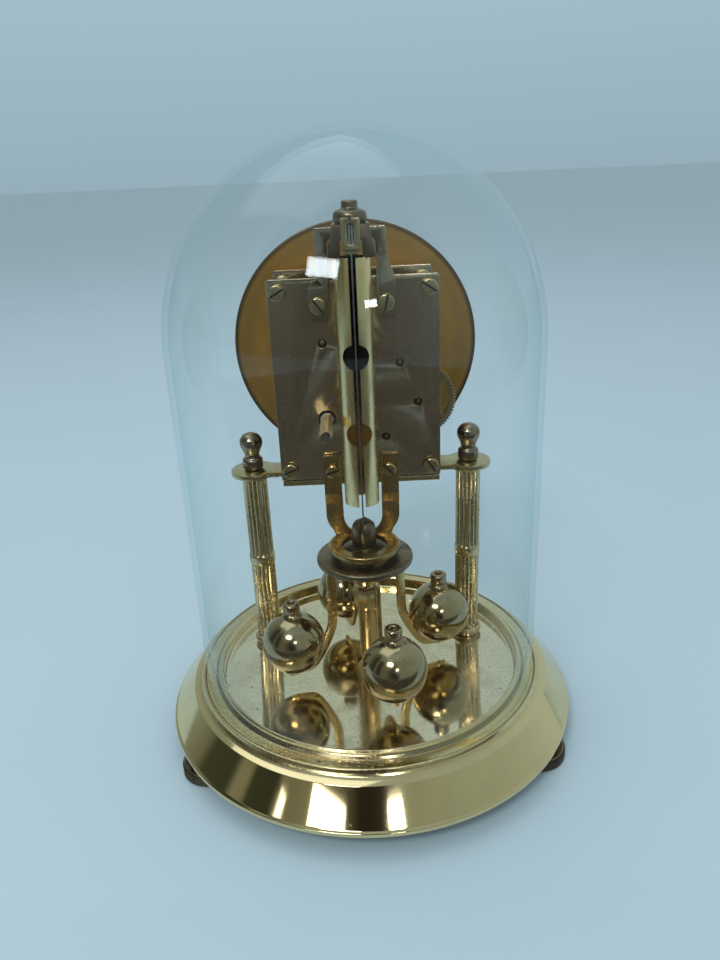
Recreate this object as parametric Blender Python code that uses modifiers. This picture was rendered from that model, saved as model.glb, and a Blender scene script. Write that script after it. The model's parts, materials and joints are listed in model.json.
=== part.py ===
"""Anniversary clock: a torsion pendulum clock with four balls, under a lift-off glass dome.

The base's centre is at x = y = 0, and the surface that the clock stands on is z = 0. The dial
faces -Y. Every size is in millimetres and is turned into metres by MM where a mesh is made.
"""

import math

import bmesh
import bpy
from mathutils import Vector

MM = 0.001
GAP = 0.3

# Base and dome
RIM_RADIUS = 75.0
RIM_Z = 7.5
DECK_Z = 20.0
SEAT_Z = 22.5
DOME_RADIUS = 61.2
DOME_WALL = 2.2
DOME_SPRING_Z = 144.2
DOME_TOP_Z = 208.3
FOOT_CIRCLE = 66.3
FOOT_RADIUS = 10.2

# Columns and platform
COLUMN_X = 39.7
COLUMN_Y = -16.3
COLUMN_RADIUS = 4.6
PLATFORM_Z = 92.4
PLATFORM_THICK = 2.0

# Movement plates
PLATE_HALF_WIDTH = 27.9
PLATE_BOTTOM = PLATFORM_Z + PLATFORM_THICK + GAP
PLATE_TOP = 163.7
PLATE_THICK = 2.0
BACK_PLATE_Y = -1.8
FRONT_PLATE_Y = -26.3
PILLAR_X = 24.6
PILLAR_Z = (98.4, 159.6)

# Train: x and z of each arbor, as seen from the front
BARREL_AT = (10.8, 116.7)
SECOND_AT = (-9.2, 109.5)
THIRD_AT = (-20.4, 121.4)
FOURTH_AT = (-14.5, 135.2)
CENTRE_AT = (0.0, 135.3)
FIFTH_AT = (10.9, 142.6)
ESCAPE_AT = (0.0, 149.4)
ANCHOR_AT = (0.0, 158.6)
MINUTE_AT = (-7.37, 130.14)
CLICK_AT = (19.6, 119.6)
ARBOR_RADIUS = 0.8
PIVOT_HOLE = 1.1
ARBOR_ENDS = (-2.1, -28.0)
WINDING_RADIUS = 2.4
WINDING_HOLE = 3.0
BARREL_RADIUS = 15.0
ESCAPE_RADIUS = 6.5

# Dial and hands
DIAL_RADIUS = 44.3
DIAL_Y = -32.5

# Suspension and pendulum
PENDULUM_Y = 6.0
BALL_RADIUS = 11.4
BALL_ORBIT = 28.15
BALL_Z = 38.5
PENDULUM_TURN = math.radians(17.0)
DISC_RADIUS = 17.06
DISC_Z = 66.3
TUBE_RADIUS = 5.9
TUBE_ENDS = (89.0, 170.8)
WINDOWS_Z = (114.8, 140.5)
FORK_Z = 171.6

FINISHES = {
    "polished_brass": ((0.80, 0.60, 0.25), 0.12, 1.0),
    "satin_brass": ((0.72, 0.57, 0.28), 0.35, 1.0),
    "golden_brass": ((0.75, 0.50, 0.18), 0.25, 1.0),
    "dark_brass": ((0.34, 0.25, 0.13), 0.45, 1.0),
    "dial_brass": ((0.50, 0.36, 0.12), 0.40, 1.0),
    "steel": ((0.55, 0.55, 0.55), 0.25, 1.0),
    "blued_steel": ((0.05, 0.06, 0.10), 0.30, 1.0),
    "glass": ((0.92, 0.97, 0.95), 0.02, 0.0),
}


def clear_scene():
    for obj in list(bpy.data.objects):
        bpy.data.objects.remove(obj, do_unlink=True)


def make_collection(name):
    collection = bpy.data.collections.new(name)
    bpy.context.scene.collection.children.link(collection)
    return collection


def make_finish(name):
    color, roughness, metallic = FINISHES[name]
    material = bpy.data.materials.new(name)
    material.use_nodes = True
    shader = material.node_tree.nodes["Principled BSDF"]
    shader.inputs["Base Color"].default_value = (*color, 1.0)
    shader.inputs["Roughness"].default_value = roughness
    shader.inputs["Metallic"].default_value = metallic
    return material


clear_scene()
PARTS = make_collection("anniversary_clock")
CUTTERS = make_collection("cutters")
MATERIALS = {name: make_finish(name) for name in FINISHES}


def make_axis(name, at):
    """An empty on a joint's axis. The pieces of that body are its children."""
    axis = bpy.data.objects.new(name, None)
    axis.empty_display_size = 5 * MM
    axis.location = Vector(at) * MM
    PARTS.objects.link(axis)
    return axis


def place(obj, at, parent=None):
    """Sets the object's place in millimetres from the origin, under its parent empty."""
    obj.location = Vector(at) * MM
    if parent is not None:
        obj.parent = parent
        obj.location -= parent.location


def finish(obj, material, smooth=True):
    obj.data.materials.clear()
    obj.data.materials.append(MATERIALS[material])
    if smooth:
        obj.data.shade_smooth()
        obj.data.set_sharp_from_angle(angle=math.radians(35))
    return obj


def new_object(name, mesh, collection=PARTS):
    obj = bpy.data.objects.new(name, mesh)
    collection.objects.link(obj)
    return obj


def mesh_from(name, build):
    mesh = bpy.data.meshes.new(name)
    shape = bmesh.new()
    build(shape)
    shape.to_mesh(mesh)
    shape.free()
    return mesh


def block(name, low, high, material=None, parent=None, collection=PARTS):
    """A box between two corners. Its origin is its centre."""
    size = Vector(high) - Vector(low)
    mesh = mesh_from(name, lambda shape: bmesh.ops.create_cube(shape, size=1.0))
    for vertex in mesh.vertices:
        vertex.co = Vector(a * b * MM for a, b in zip(vertex.co, size))
    obj = new_object(name, mesh, collection)
    place(obj, (Vector(low) + Vector(high)) / 2, parent)
    if material:
        finish(obj, material, smooth=False)
    return obj


def turned(name, profile, at, material=None, parent=None, along_y=False, steps=32,
           collection=PARTS):
    """Turns a profile of (radius, height) about Z, or about Y with the height towards -Y."""
    points = [(radius * MM, 0.0, height * MM) for radius, height in profile]
    mesh = bpy.data.meshes.new(name)
    closed = profile[0][0] > 0
    edges = [(i, i + 1) for i in range(len(points) - 1)]
    if closed:
        edges.append((len(points) - 1, 0))
    mesh.from_pydata(points, edges, [])
    obj = new_object(name, mesh, collection)
    screw = obj.modifiers.new("turn", "SCREW")
    screw.steps = steps
    screw.render_steps = steps
    screw.use_merge_vertices = True
    screw.merge_threshold = 0.00001
    screw.use_smooth_shade = True
    if along_y:
        obj.rotation_euler.x = math.radians(90)
    place(obj, at, parent)
    if material:
        finish(obj, material, smooth=False)
    return obj


def rod(radius, start, end):
    """The profile of a plain rod from one height up to another, top to bottom."""
    return [(0.0, end), (radius, end), (radius, start), (0.0, start)]


def tube(inner, outer, start, end):
    return [(outer, end), (outer, start), (inner, start), (inner, end)]


def flat(name, outline, thick, at, material=None, parent=None, holes=(), upright=True,
         collection=PARTS):
    """A flat piece from its outline, upright in XZ or level in XY, centred on `at`."""
    curve = bpy.data.curves.new(name, "CURVE")
    curve.dimensions = "2D"
    curve.fill_mode = "BOTH"
    curve.extrude = thick / 2 * MM
    for points in (outline, *holes):
        spline = curve.splines.new("POLY")
        spline.points.add(len(points) - 1)
        for point, (x, y) in zip(spline.points, points):
            point.co = (x * MM, y * MM, 0.0, 1.0)
        spline.use_cyclic_u = True
    drawn = bpy.data.objects.new(name + "_outline", curve)
    bpy.context.scene.collection.objects.link(drawn)
    graph = bpy.context.evaluated_depsgraph_get()
    mesh = bpy.data.meshes.new_from_object(drawn.evaluated_get(graph))
    bpy.data.objects.remove(drawn, do_unlink=True)
    shape = bmesh.new()
    shape.from_mesh(mesh)
    bmesh.ops.remove_doubles(shape, verts=shape.verts, dist=0.000001)
    bmesh.ops.recalc_face_normals(shape, faces=shape.faces)
    shape.to_mesh(mesh)
    shape.free()
    obj = new_object(name, mesh, collection)
    if upright:
        obj.rotation_euler.x = math.radians(90)
    place(obj, at, parent)
    if material:
        finish(obj, material, smooth=False)
    return obj


def as_cutter(obj):
    obj.hide_render = True
    obj.display_type = "WIRE"
    return obj


def combine(target, other, operation):
    as_cutter(other)
    boolean = target.modifiers.new(operation.lower(), "BOOLEAN")
    boolean.operation = operation
    boolean.solver = "EXACT"
    boolean.object = other
    return target


def arc(centre, radius, start, end, count):
    """Points on an arc, its angles in degrees."""
    angles = [math.radians(start + (end - start) * i / count) for i in range(count + 1)]
    return [(centre[0] + radius * math.cos(a), centre[1] + radius * math.sin(a)) for a in angles]


def circle(radius, count=24, centre=(0.0, 0.0)):
    return arc(centre, radius, 0, 360, count)[:-1]


def gear_outline(teeth, module, phase):
    """Plain pointed teeth, a little thin at the pitch circle so that a pair runs free."""
    points = []
    pitch = teeth * module / 2
    for tooth in range(teeth):
        for offset, radius in ((0.0, pitch + 0.75 * module), (0.5, pitch - 1.15 * module)):
            angle = phase + (tooth + offset) * 2 * math.pi / teeth
            points.append((radius * math.cos(angle), radius * math.sin(angle)))
    return points


def meshed_phase(driver_at, driver_teeth, driver_phase, follower_at, follower_teeth):
    """The angle that puts a gap of the follower over a tooth of the driver."""
    line = math.atan2(follower_at[1] - driver_at[1], follower_at[0] - driver_at[0])
    position = ((line - driver_phase) * driver_teeth / (2 * math.pi)) % 1.0
    return line + math.pi - (0.5 - position) * 2 * math.pi / follower_teeth


def module_of(first_at, first_teeth, second_at, second_teeth):
    return 2 * math.dist(first_at, second_at) / (first_teeth + second_teeth)


def make_base():
    outer = [
        (0, 20.0), (54.3, 20.0), (54.9, 20.4), (55.1, 24.0), (55.6, 24.6), (56.2, 24.5),
        (56.9, 23.7), (57.6, 23.4), (58.3, SEAT_Z), (61.9, SEAT_Z), (62.2, 23.0), (62.8, 22.8),
        (63.4, 21.3), (64.6, 20.5), (66.4, 19.8), (74.2, 9.7), (RIM_RADIUS, 9.2), (RIM_RADIUS, 7.8),
        (74.6, RIM_Z),
    ]
    inner = [
        (73.8, RIM_Z), (73.5, 9.2), (65.9, 18.9), (64.1, 19.5), (62.4, 20.5), (61.8, 21.4),
        (58.0, 21.4), (56.0, 22.6), (55.9, 19.0), (0, 19.0),
    ]
    turned("base_shell", outer + inner, (0, 0, 0), "polished_brass", steps=40)
    plate = turned("base_underplate", tube(20.0, 73.0, 8.4, 9.4), (0, 0, 0), "dark_brass", steps=40)
    for index in range(3):
        hole = turned(f"foot_hole_{index + 1}", rod(2.8, 6.0, 12.0), foot_place(index), steps=16,
                      collection=CUTTERS)
        combine(plate, hole, "DIFFERENCE")
    cup = [(1.7, 23.4), (3.0, 23.4), (4.4, 21.6), (4.4, DECK_Z + GAP), (1.7, DECK_Z + GAP)]
    turned("guide_cup", cup, (0, PENDULUM_Y, 0), "golden_brass", steps=20)


def foot_place(index):
    angle = math.radians(-90 + 120 * index)
    return (FOOT_CIRCLE * math.cos(angle), FOOT_CIRCLE * math.sin(angle), 0.0)


def make_feet():
    profile = [
        (0, 13.4), (2.4, 13.4), (2.4, 4.6), (9.8, 4.6), (FOOT_RADIUS, 4.2), (FOOT_RADIUS, 0.4),
        (9.8, 0), (0, 0),
    ]
    for index in range(3):
        axis = make_axis(f"foot_axis_{index + 1}", foot_place(index))
        turned(f"levelling_foot_{index + 1}", profile, foot_place(index), "dark_brass", axis, steps=24)


def make_dome():
    axis = make_axis("dome_axis", (0, 0, SEAT_Z))
    rise = DOME_TOP_Z - DOME_SPRING_Z
    bottom = SEAT_Z + GAP
    quarter = [math.radians(90 * i / 8) for i in range(9)]
    outside = [
        (DOME_RADIUS * math.sin(a), DOME_SPRING_Z + rise * math.cos(a))
        for a in quarter
    ]
    inside = [
        ((DOME_RADIUS - DOME_WALL) * math.sin(a), DOME_SPRING_Z + (rise - DOME_WALL) * math.cos(a))
        for a in quarter[::-1]
    ]
    profile = outside + [(DOME_RADIUS, bottom), (DOME_RADIUS - DOME_WALL, bottom)] + inside
    turned("dome", profile, (0, 0, 0), "glass", axis, steps=36)


def make_columns():
    column = [
        (0, 92.1), (COLUMN_RADIUS, 92.1), (COLUMN_RADIUS, 59.3), (4.8, 59.0), (4.8, 56.4),
        (COLUMN_RADIUS, 56.1), (COLUMN_RADIUS, 24.0), (5.3, 23.7), (5.7, 22.7), (5.7, 21.3),
        (5.2, DECK_Z + GAP), (0, DECK_Z + GAP),
    ]
    finial = [
        (0, 108.2), (1.6, 108.0), (3.2, 107.2), (4.2, 105.2), (4.2, 103.6), (3.5, 101.8),
        (2.9, 100.2), (2.9, 98.6), (3.6, 98.0), (3.6, 95.0), (3.2, 94.7), (0, 94.7),
    ]
    for side, x in (("left", -COLUMN_X), ("right", COLUMN_X)):
        turned(f"column_{side}", column, (x, COLUMN_Y, 0), "satin_brass", steps=16)
        turned(f"finial_{side}", finial, (x, COLUMN_Y, 0), "dark_brass", steps=14)


def make_platform():
    half, rear, front = 27.6, BACK_PLATE_Y, FRONT_PLATE_Y - PLATE_THICK
    ear, neck = 8.2, 5.4
    spread = math.degrees(math.asin(neck / ear))
    right = arc((COLUMN_X, COLUMN_Y), ear, -180 + spread, 180 - spread, 14)
    left = arc((-COLUMN_X, COLUMN_Y), ear, spread, 360 - spread, 14)
    near, far = COLUMN_Y - neck, COLUMN_Y + neck
    outline = [(half, front), (half, near)] + right + [(half, far), (half, rear)]
    outline += [(-half, rear), (-half, far)] + left + [(-half, near), (-half, front)]
    middle = PLATFORM_Z + PLATFORM_THICK / 2
    flat("platform", outline, PLATFORM_THICK, (0, 0, middle), "satin_brass", upright=False)


def plate_outline():
    corner = 2.0
    w, low, high = PLATE_HALF_WIDTH, PLATE_BOTTOM, PLATE_TOP
    return (
        [(-w, low), (w, low)] + arc((w - corner, high - corner), corner, 0, 90, 4)
        + arc((corner - w, high - corner), corner, 90, 180, 4)
    )


def make_plates():
    pivots = [SECOND_AT, THIRD_AT, FOURTH_AT, CENTRE_AT, FIFTH_AT, ESCAPE_AT, ANCHOR_AT]
    shared = [circle(PIVOT_HOLE, 10, at) for at in pivots] + [circle(WINDING_HOLE, 20, BARREL_AT)]
    screws = [circle(1.6, 10, (x, z)) for x in (-PILLAR_X, PILLAR_X) for z in PILLAR_Z]
    motion = [circle(PIVOT_HOLE, 10, MINUTE_AT)]
    back = (0, BACK_PLATE_Y - PLATE_THICK / 2, 0)
    front = (0, FRONT_PLATE_Y - PLATE_THICK / 2, 0)
    flat("back_plate", plate_outline(), PLATE_THICK, back, "satin_brass", holes=shared + screws)
    flat("front_plate", plate_outline(), PLATE_THICK, front, "satin_brass", holes=shared + motion)
    gap_start = -(BACK_PLATE_Y - PLATE_THICK) + GAP
    gap_end = -FRONT_PLATE_Y - GAP
    screw = [
        (0, 3.7), (1.2, 3.7), (1.2, 1.5), (2.7, 1.5), (2.7, 0.6), (2.2, 0.2), (0, 0.2),
    ]
    for row, z in zip(("lower", "upper"), PILLAR_Z):
        for side, x in (("left", -PILLAR_X), ("right", PILLAR_X)):
            turned(f"pillar_{row}_{side}", rod(2.6, gap_start, gap_end), (x, 0, z), "satin_brass",
                   along_y=True, steps=12)
            turned(f"plate_screw_{row}_{side}", screw, (x, 0, z), "satin_brass", along_y=True, steps=12)


def wheel_arbor(name, at, wheel, pinion, parent, ends=ARBOR_ENDS):
    """A toothed wheel, its pinion and their arbor as one piece. wheel and pinion give
    (teeth, module, phase, middle y, thickness)."""
    teeth, module, phase, y, thick = wheel
    body = flat(name, gear_outline(teeth, module, phase), thick, (at[0], y, at[1]), "satin_brass", parent)
    teeth, module, phase, y, thick = pinion
    leaves = flat(f"{name}_pinion", gear_outline(teeth, module, phase), thick, (at[0], y, at[1]),
                  collection=CUTTERS)
    arbor = turned(f"{name}_arbor", rod(ARBOR_RADIUS, -ends[0], -ends[1]), (at[0], 0, at[1]),
                   along_y=True, steps=10, collection=CUTTERS)
    combine(body, leaves, "UNION")
    combine(body, arbor, "UNION")
    return body


def train_phases():
    """Works out every gear's module and phase down the train, from the barrel on."""
    stages = [
        ("great", BARREL_AT, 80, "second_pinion", SECOND_AT, 16),
        ("second", SECOND_AT, 72, "third_pinion", THIRD_AT, 16),
        ("third", THIRD_AT, 72, "fourth_pinion", FOURTH_AT, 12),
        ("fourth", FOURTH_AT, 60, "centre_pinion", CENTRE_AT, 12),
        ("centre", CENTRE_AT, 56, "fifth_pinion", FIFTH_AT, 14),
        ("fifth", FIFTH_AT, 54, "escape_pinion", ESCAPE_AT, 18),
        ("cannon", CENTRE_AT, 12, "minute", MINUTE_AT, 36),
        ("minute_pinion", MINUTE_AT, 12, "hour", CENTRE_AT, 48),
    ]
    gears = {}
    for driver, driver_at, driver_teeth, follower, follower_at, follower_teeth in stages:
        module = module_of(driver_at, driver_teeth, follower_at, follower_teeth)
        phase = meshed_phase(driver_at, driver_teeth, 0.0, follower_at, follower_teeth)
        gears[driver] = (driver_teeth, module, 0.0)
        gears[follower] = (follower_teeth, module, phase)
    return gears


def make_train():
    gears = train_phases()
    layout = [
        ("second_wheel", SECOND_AT, "second", -6.9, "second_pinion", -22.8, 2.0),
        ("third_wheel", THIRD_AT, "third", -4.9, "third_pinion", -6.9, 2.0),
        ("fourth_wheel", FOURTH_AT, "fourth", -19.6, "fourth_pinion", -4.9, 1.6),
        ("fifth_wheel", FIFTH_AT, "fifth", -12.5, "fifth_pinion", -24.9, 1.8),
    ]
    for name, at, wheel, wheel_y, pinion, pinion_y, pinion_thick in layout:
        axis = make_axis(f"{name}_axis", (at[0], 0, at[1]))
        leaves = (*gears[pinion], pinion_y, pinion_thick)
        wheel_arbor(name, at, (*gears[wheel], wheel_y, 1.0), leaves, axis)
    axis = make_axis("centre_axis", (CENTRE_AT[0], 0, CENTRE_AT[1]))
    wheel_arbor("centre_wheel", CENTRE_AT, (*gears["centre"], -24.9, 1.0),
                (*gears["centre_pinion"], -19.6, 2.0), axis, ends=(-2.1, -38.0))
    make_barrel(gears["great"])
    make_escapement(gears["escape_pinion"])
    make_motion_work(gears)


def make_barrel(great):
    axis = make_axis("barrel_axis", (BARREL_AT[0], 0, BARREL_AT[1]))
    x, z = BARREL_AT
    drum = turned("barrel", tube(14.2, BARREL_RADIUS, 8.2, 22.5), (x, 0, z), "satin_brass", axis, True, 24)
    wheel = flat("great_wheel", gear_outline(*great), 1.2, (x, -22.8, z), holes=[circle(2.8, 16)],
                 collection=CUTTERS)
    combine(drum, wheel, "UNION")
    turned("barrel_cover", tube(2.8, 13.8, 8.5, 9.4), (x, 0, z), "satin_brass", axis, True, 24)
    turns, points = 3, 48
    coil = []
    for offset in (0.0, 0.5):
        row = []
        for i in range(points + 1):
            part = i / points
            radius = 4.4 + 9.0 * part + offset
            angle = 2 * math.pi * turns * part
            row.append((radius * math.cos(angle), radius * math.sin(angle)))
        coil.append(row)
    outline = coil[0] + coil[1][::-1]
    flat("mainspring", outline, 11.5, (x, -15.9, z), "blued_steel", axis)
    winding = make_axis("winding_axis", (x, 0, z))
    arbor = turned("winding_arbor", rod(WINDING_RADIUS, 0.9, 28.9), (x, 0, z), "steel", winding, True, 16)
    low, high = (x - 1.6, -1.2, z - 1.6), (x + 1.6, 17.5, z + 1.6)
    square = block("winding_square", low, high, collection=CUTTERS)
    combine(arbor, square, "UNION")
    ratchet = []
    for tooth in range(20):
        for offset, radius in ((0.0, 6.2), (0.12, 5.0)):
            angle = 2 * math.pi * (tooth + offset) / 20
            ratchet.append((radius * math.cos(angle), radius * math.sin(angle)))
    wheel = flat("ratchet_wheel", ratchet, 1.0, (x, -29.2, z), "steel", winding)
    stub = turned("ratchet_stub", rod(1.2, 28.6, 29.9), (x, 0, z), along_y=True, steps=12,
                  collection=CUTTERS)
    combine(wheel, stub, "UNION")
    gap_cut = turned("ratchet_seat", rod(WINDING_RADIUS + GAP, 20.0, 29.2), (x, 0, z), along_y=True,
                     steps=16, collection=CUTTERS)
    combine(wheel, gap_cut, "DIFFERENCE")
    click = make_axis("click_axis", (CLICK_AT[0], 0, CLICK_AT[1]))
    pawl = [(-2.4, -1.6), (1.2, -1.8), (2.0, 0.0), (1.2, 1.8), (-0.6, 2.0), (-2.5, 0.4)]
    flat("click", pawl, 1.0, (CLICK_AT[0], -29.2, CLICK_AT[1]), "steel", click)


def make_escapement(pinion):
    axis = make_axis("escape_axis", (ESCAPE_AT[0], 0, ESCAPE_AT[1]))
    points = []
    for tooth in range(20):
        for offset, radius in ((0.0, ESCAPE_RADIUS), (0.22, 5.1), (0.78, 5.1)):
            angle = 2 * math.pi * (tooth + offset) / 20
            points.append((radius * math.cos(angle), radius * math.sin(angle)))
    x, z = ESCAPE_AT
    wheel = flat("escape_wheel", points, 0.8, (x, -7.5, z), "satin_brass", axis)
    leaves = flat("escape_leaves", gear_outline(*pinion), 1.8, (x, -12.5, z), collection=CUTTERS)
    arbor = turned("escape_arbor", rod(ARBOR_RADIUS, 2.1, 28.0), (x, 0, z), along_y=True, steps=10,
                   collection=CUTTERS)
    combine(wheel, leaves, "UNION")
    combine(wheel, arbor, "UNION")
    make_anchor()


def make_anchor():
    axis = make_axis("anchor_axis", (ANCHOR_AT[0], 0, ANCHOR_AT[1]))
    x, z = ANCHOR_AT
    drop = z - ESCAPE_AT[1]
    inner = arc((0, -drop), ESCAPE_RADIUS + 0.7, 18, 162, 12)
    outer = arc((0, -drop), ESCAPE_RADIUS + 2.0, 160, 100, 5) + arc((0, 0), 2.2, 150, 30, 5)
    outer += arc((0, -drop), ESCAPE_RADIUS + 2.0, 80, 20, 5)
    anchor = flat("anchor", inner + outer, 0.9, (x, -7.5, z), "steel", axis)
    arbor = turned("anchor_arbor", rod(ARBOR_RADIUS, 2.1, 28.0), (x, 0, z), along_y=True, steps=10,
                   collection=CUTTERS)
    pin = turned("anchor_pin", rod(0.5, 0.0, FORK_Z + 3.8 - z), (x, -5.0, z), steps=10, collection=CUTTERS)
    combine(anchor, arbor, "UNION")
    combine(anchor, pin, "UNION")


def make_motion_work(gears):
    x, z = CENTRE_AT
    minute = make_axis("minute_axis", (x, 0, z))
    teeth = gear_outline(*gears["cannon"])
    pinion = flat("cannon_pinion", teeth, 1.0, (x, -29.2, z), "satin_brass", minute)
    pipe = turned("cannon_pipe", rod(1.7, 28.7, 36.9), (x, 0, z), along_y=True, steps=14,
                  collection=CUTTERS)
    bore = turned("cannon_bore", rod(1.2, 20.0, 44.0), (x, 0, z), along_y=True, steps=14,
                  collection=CUTTERS)
    combine(pinion, pipe, "UNION")
    combine(pinion, bore, "DIFFERENCE")
    nut = [(1.2, 38.4), (1.8, 38.4), (2.4, 37.8), (2.4, 37.2), (1.2, 37.2)]
    turned("hand_nut", nut, (x, 0, z), "steel", minute, True, 14)
    hour = make_axis("hour_axis", (x, 0, z))
    teeth = gear_outline(*gears["hour"])
    wheel = flat("hour_wheel", teeth, 0.8, (x, -30.9, z), "satin_brass", hour)
    pipe = turned("hour_pipe", rod(2.8, 30.6, 35.6), (x, 0, z), along_y=True, steps=16,
                  collection=CUTTERS)
    bore = turned("hour_bore", rod(2.1, 20.0, 44.0), (x, 0, z), along_y=True, steps=16,
                  collection=CUTTERS)
    combine(wheel, pipe, "UNION")
    combine(wheel, bore, "DIFFERENCE")
    axis = make_axis("minute_wheel_axis", (MINUTE_AT[0], 0, MINUTE_AT[1]))
    wheel_arbor("minute_wheel", MINUTE_AT, (*gears["minute"], -29.2, 0.8),
                (*gears["minute_pinion"], -30.6, 1.6), axis, ends=(-26.9, -32.0))


def hand_outline(length, width, boss):
    """A plain tapering hand that points along +y, widest at a third of its length."""
    tail = arc((0, 0), boss, 120, 420, 14)
    right = [(width, length * 0.35), (width * 0.45, length * 0.8)]
    left = [(-px, py) for px, py in right[::-1]]
    return tail + right + [(0, length)] + left


def make_dial_and_hands():
    x, z = CENTRE_AT
    flat("dial", circle(DIAL_RADIUS, 64), 1.0, (x, DIAL_Y - 0.5, z), "dial_brass", holes=[circle(4.2, 20)])
    hour = bpy.data.objects["hour_axis"]
    minute = bpy.data.objects["minute_axis"]
    hands = [
        ("hour_hand", 24.0, 1.9, 4.2, 3.1, -35.2, hour, 50),
        ("minute_hand", 35.0, 1.5, 3.2, 2.0, -36.5, minute, -60),
    ]
    for name, length, width, boss, bore, y, axis, angle in hands:
        turn = math.radians(angle)
        outline = [
            (px * math.cos(turn) - py * math.sin(turn), px * math.sin(turn) + py * math.cos(turn))
            for px, py in hand_outline(length, width, boss)
        ]
        flat(name, outline, 0.5, (x, y, z), "blued_steel", axis, holes=[circle(bore, 14)])


def make_suspension():
    y = PENDULUM_Y
    yoke = [
        (7.6, 150.2), (14.0, 150.2), (14.0, 162.0), (11.4, 163.6), (11.4, 179.0), (-11.4, 179.0),
        (-11.4, 163.6), (-14.0, 162.0), (-14.0, 150.2), (-7.6, 150.2), (-7.6, 175.8), (7.6, 175.8),
    ]
    bracket = flat("suspension_bracket", yoke, 1.6, (0, BACK_PLATE_Y + GAP + 0.8, 0), "satin_brass")
    shelf = block("bracket_shelf", (-5.2, -1.2, 176.2), (5.2, y + 5.2, 178.8), collection=CUTTERS)
    combine(bracket, shelf, "UNION")
    slot = turned("bracket_slot", rod(2.8, 170.0, 182.0), (0, y, 0), steps=16, collection=CUTTERS)
    combine(bracket, slot, "DIFFERENCE")
    collar = [(0, 187.0), (2.4, 187.0), (2.6, 184.9), (4.6, 184.4), (5.2, 183.2), (5.2, 179.4), (0, 179.4)]
    turned("suspension_cap", collar, (0, y, 0), "dark_brass", steps=20)
    block("upper_block", (-1.7, y - 1.7, 175.9), (1.7, y + 1.7, 179.1), "steel")
    block("suspension_spring", (-0.6, y - 0.06, 82.4), (0.6, y + 0.06, 175.6), "steel")
    make_guard_tube()
    make_guide_bracket()
    make_fork()


def make_fork():
    y = PENDULUM_Y
    axis = make_axis("fork_axis", (0, y, FORK_Z))
    reach = -5.0 - y - 1.8
    outline = [
        (-2.4, 2.2), (-2.4, -2.2), (-1.9, -3.5), (-1.9, reach), (-0.85, reach), (-0.85, reach + 3.4),
        (0.85, reach + 3.4), (0.85, reach), (1.9, reach), (1.9, -3.5), (2.4, -2.2), (2.4, 2.2),
    ]
    gap = [(-0.95, -0.4), (0.95, -0.4), (0.95, 0.4), (-0.95, 0.4)]
    flat("fork", outline, 3.0, (0, y, FORK_Z + 1.5), "satin_brass", axis, holes=[gap], upright=False)


def make_guard_tube():
    low, high = TUBE_ENDS
    wall, slot = 0.7, 0.8
    start = 90 + math.degrees(math.asin(slot / TUBE_RADIUS))
    end = 450 - math.degrees(math.asin(slot / TUBE_RADIUS))
    outline = arc((0, 0), TUBE_RADIUS, start, end, 28) + arc((0, 0), TUBE_RADIUS - wall, end, start, 28)
    middle = (low + high) / 2
    guard = flat("guard_tube", outline, high - low, (0, PENDULUM_Y, middle), "satin_brass", upright=False)
    for index, z in enumerate(WINDOWS_Z):
        window = turned(f"window_{index + 1}", rod(4.2, -20.0, -PENDULUM_Y - 1.0), (0, 0, z), along_y=True,
                        steps=20, collection=CUTTERS)
        combine(guard, window, "DIFFERENCE")


def make_guide_bracket():
    y = PENDULUM_Y
    strap = [
        (6.9, 103.6), (6.9, 87.6), (6.6, 85.6), (4.9, 82.0), (3.6, 78.4), (3.4, 75.0), (3.4, 71.0),
    ]
    outer = [(9.6, 71.0), (9.8, 75.0), (10.6, 78.4), (12.4, 82.0), (13.1, 86.0), (13.1, 103.6)]
    leg_y = BACK_PLATE_Y + GAP + 0.7
    ring = flat("guide_bracket", circle(12.6, 32, (0, 0)), 1.8, (0, y, 71.7), "golden_brass",
                holes=[circle(7.8, 24)], upright=False)
    for side, sign in (("left", -1), ("right", 1)):
        outline = [(sign * px, pz) for px, pz in strap + outer]
        leg = flat(f"guide_leg_{side}", outline, 1.4, (0, leg_y, 0), collection=CUTTERS)
        combine(ring, leg, "UNION")


def arm_outline():
    """The J of an arm in its radial plane: out under the disc, down, and out below the ball."""
    path = [(4.9, 64.6), (9.4, 64.6)] + arc((9.4, 61.0), 3.6, 75, 10, 4)
    path += [(13.2, 52.0), (13.3, 45.0)] + arc((25.6, 45.0), 12.3, 180, 262, 7)
    path += [(BALL_ORBIT, 32.4), (BALL_ORBIT + 2.4, 32.4)]
    return path


def strip_outline(path, thick):
    """Both sides of a strip that follows a path."""
    left, right = [], []
    for index, (x, y) in enumerate(path):
        before = path[max(index - 1, 0)]
        after = path[min(index + 1, len(path) - 1)]
        along = Vector((after[0] - before[0], after[1] - before[1])).normalized()
        left.append((x - along.y * thick / 2, y + along.x * thick / 2))
        right.append((x + along.y * thick / 2, y - along.x * thick / 2))
    return left + right[::-1]


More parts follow.
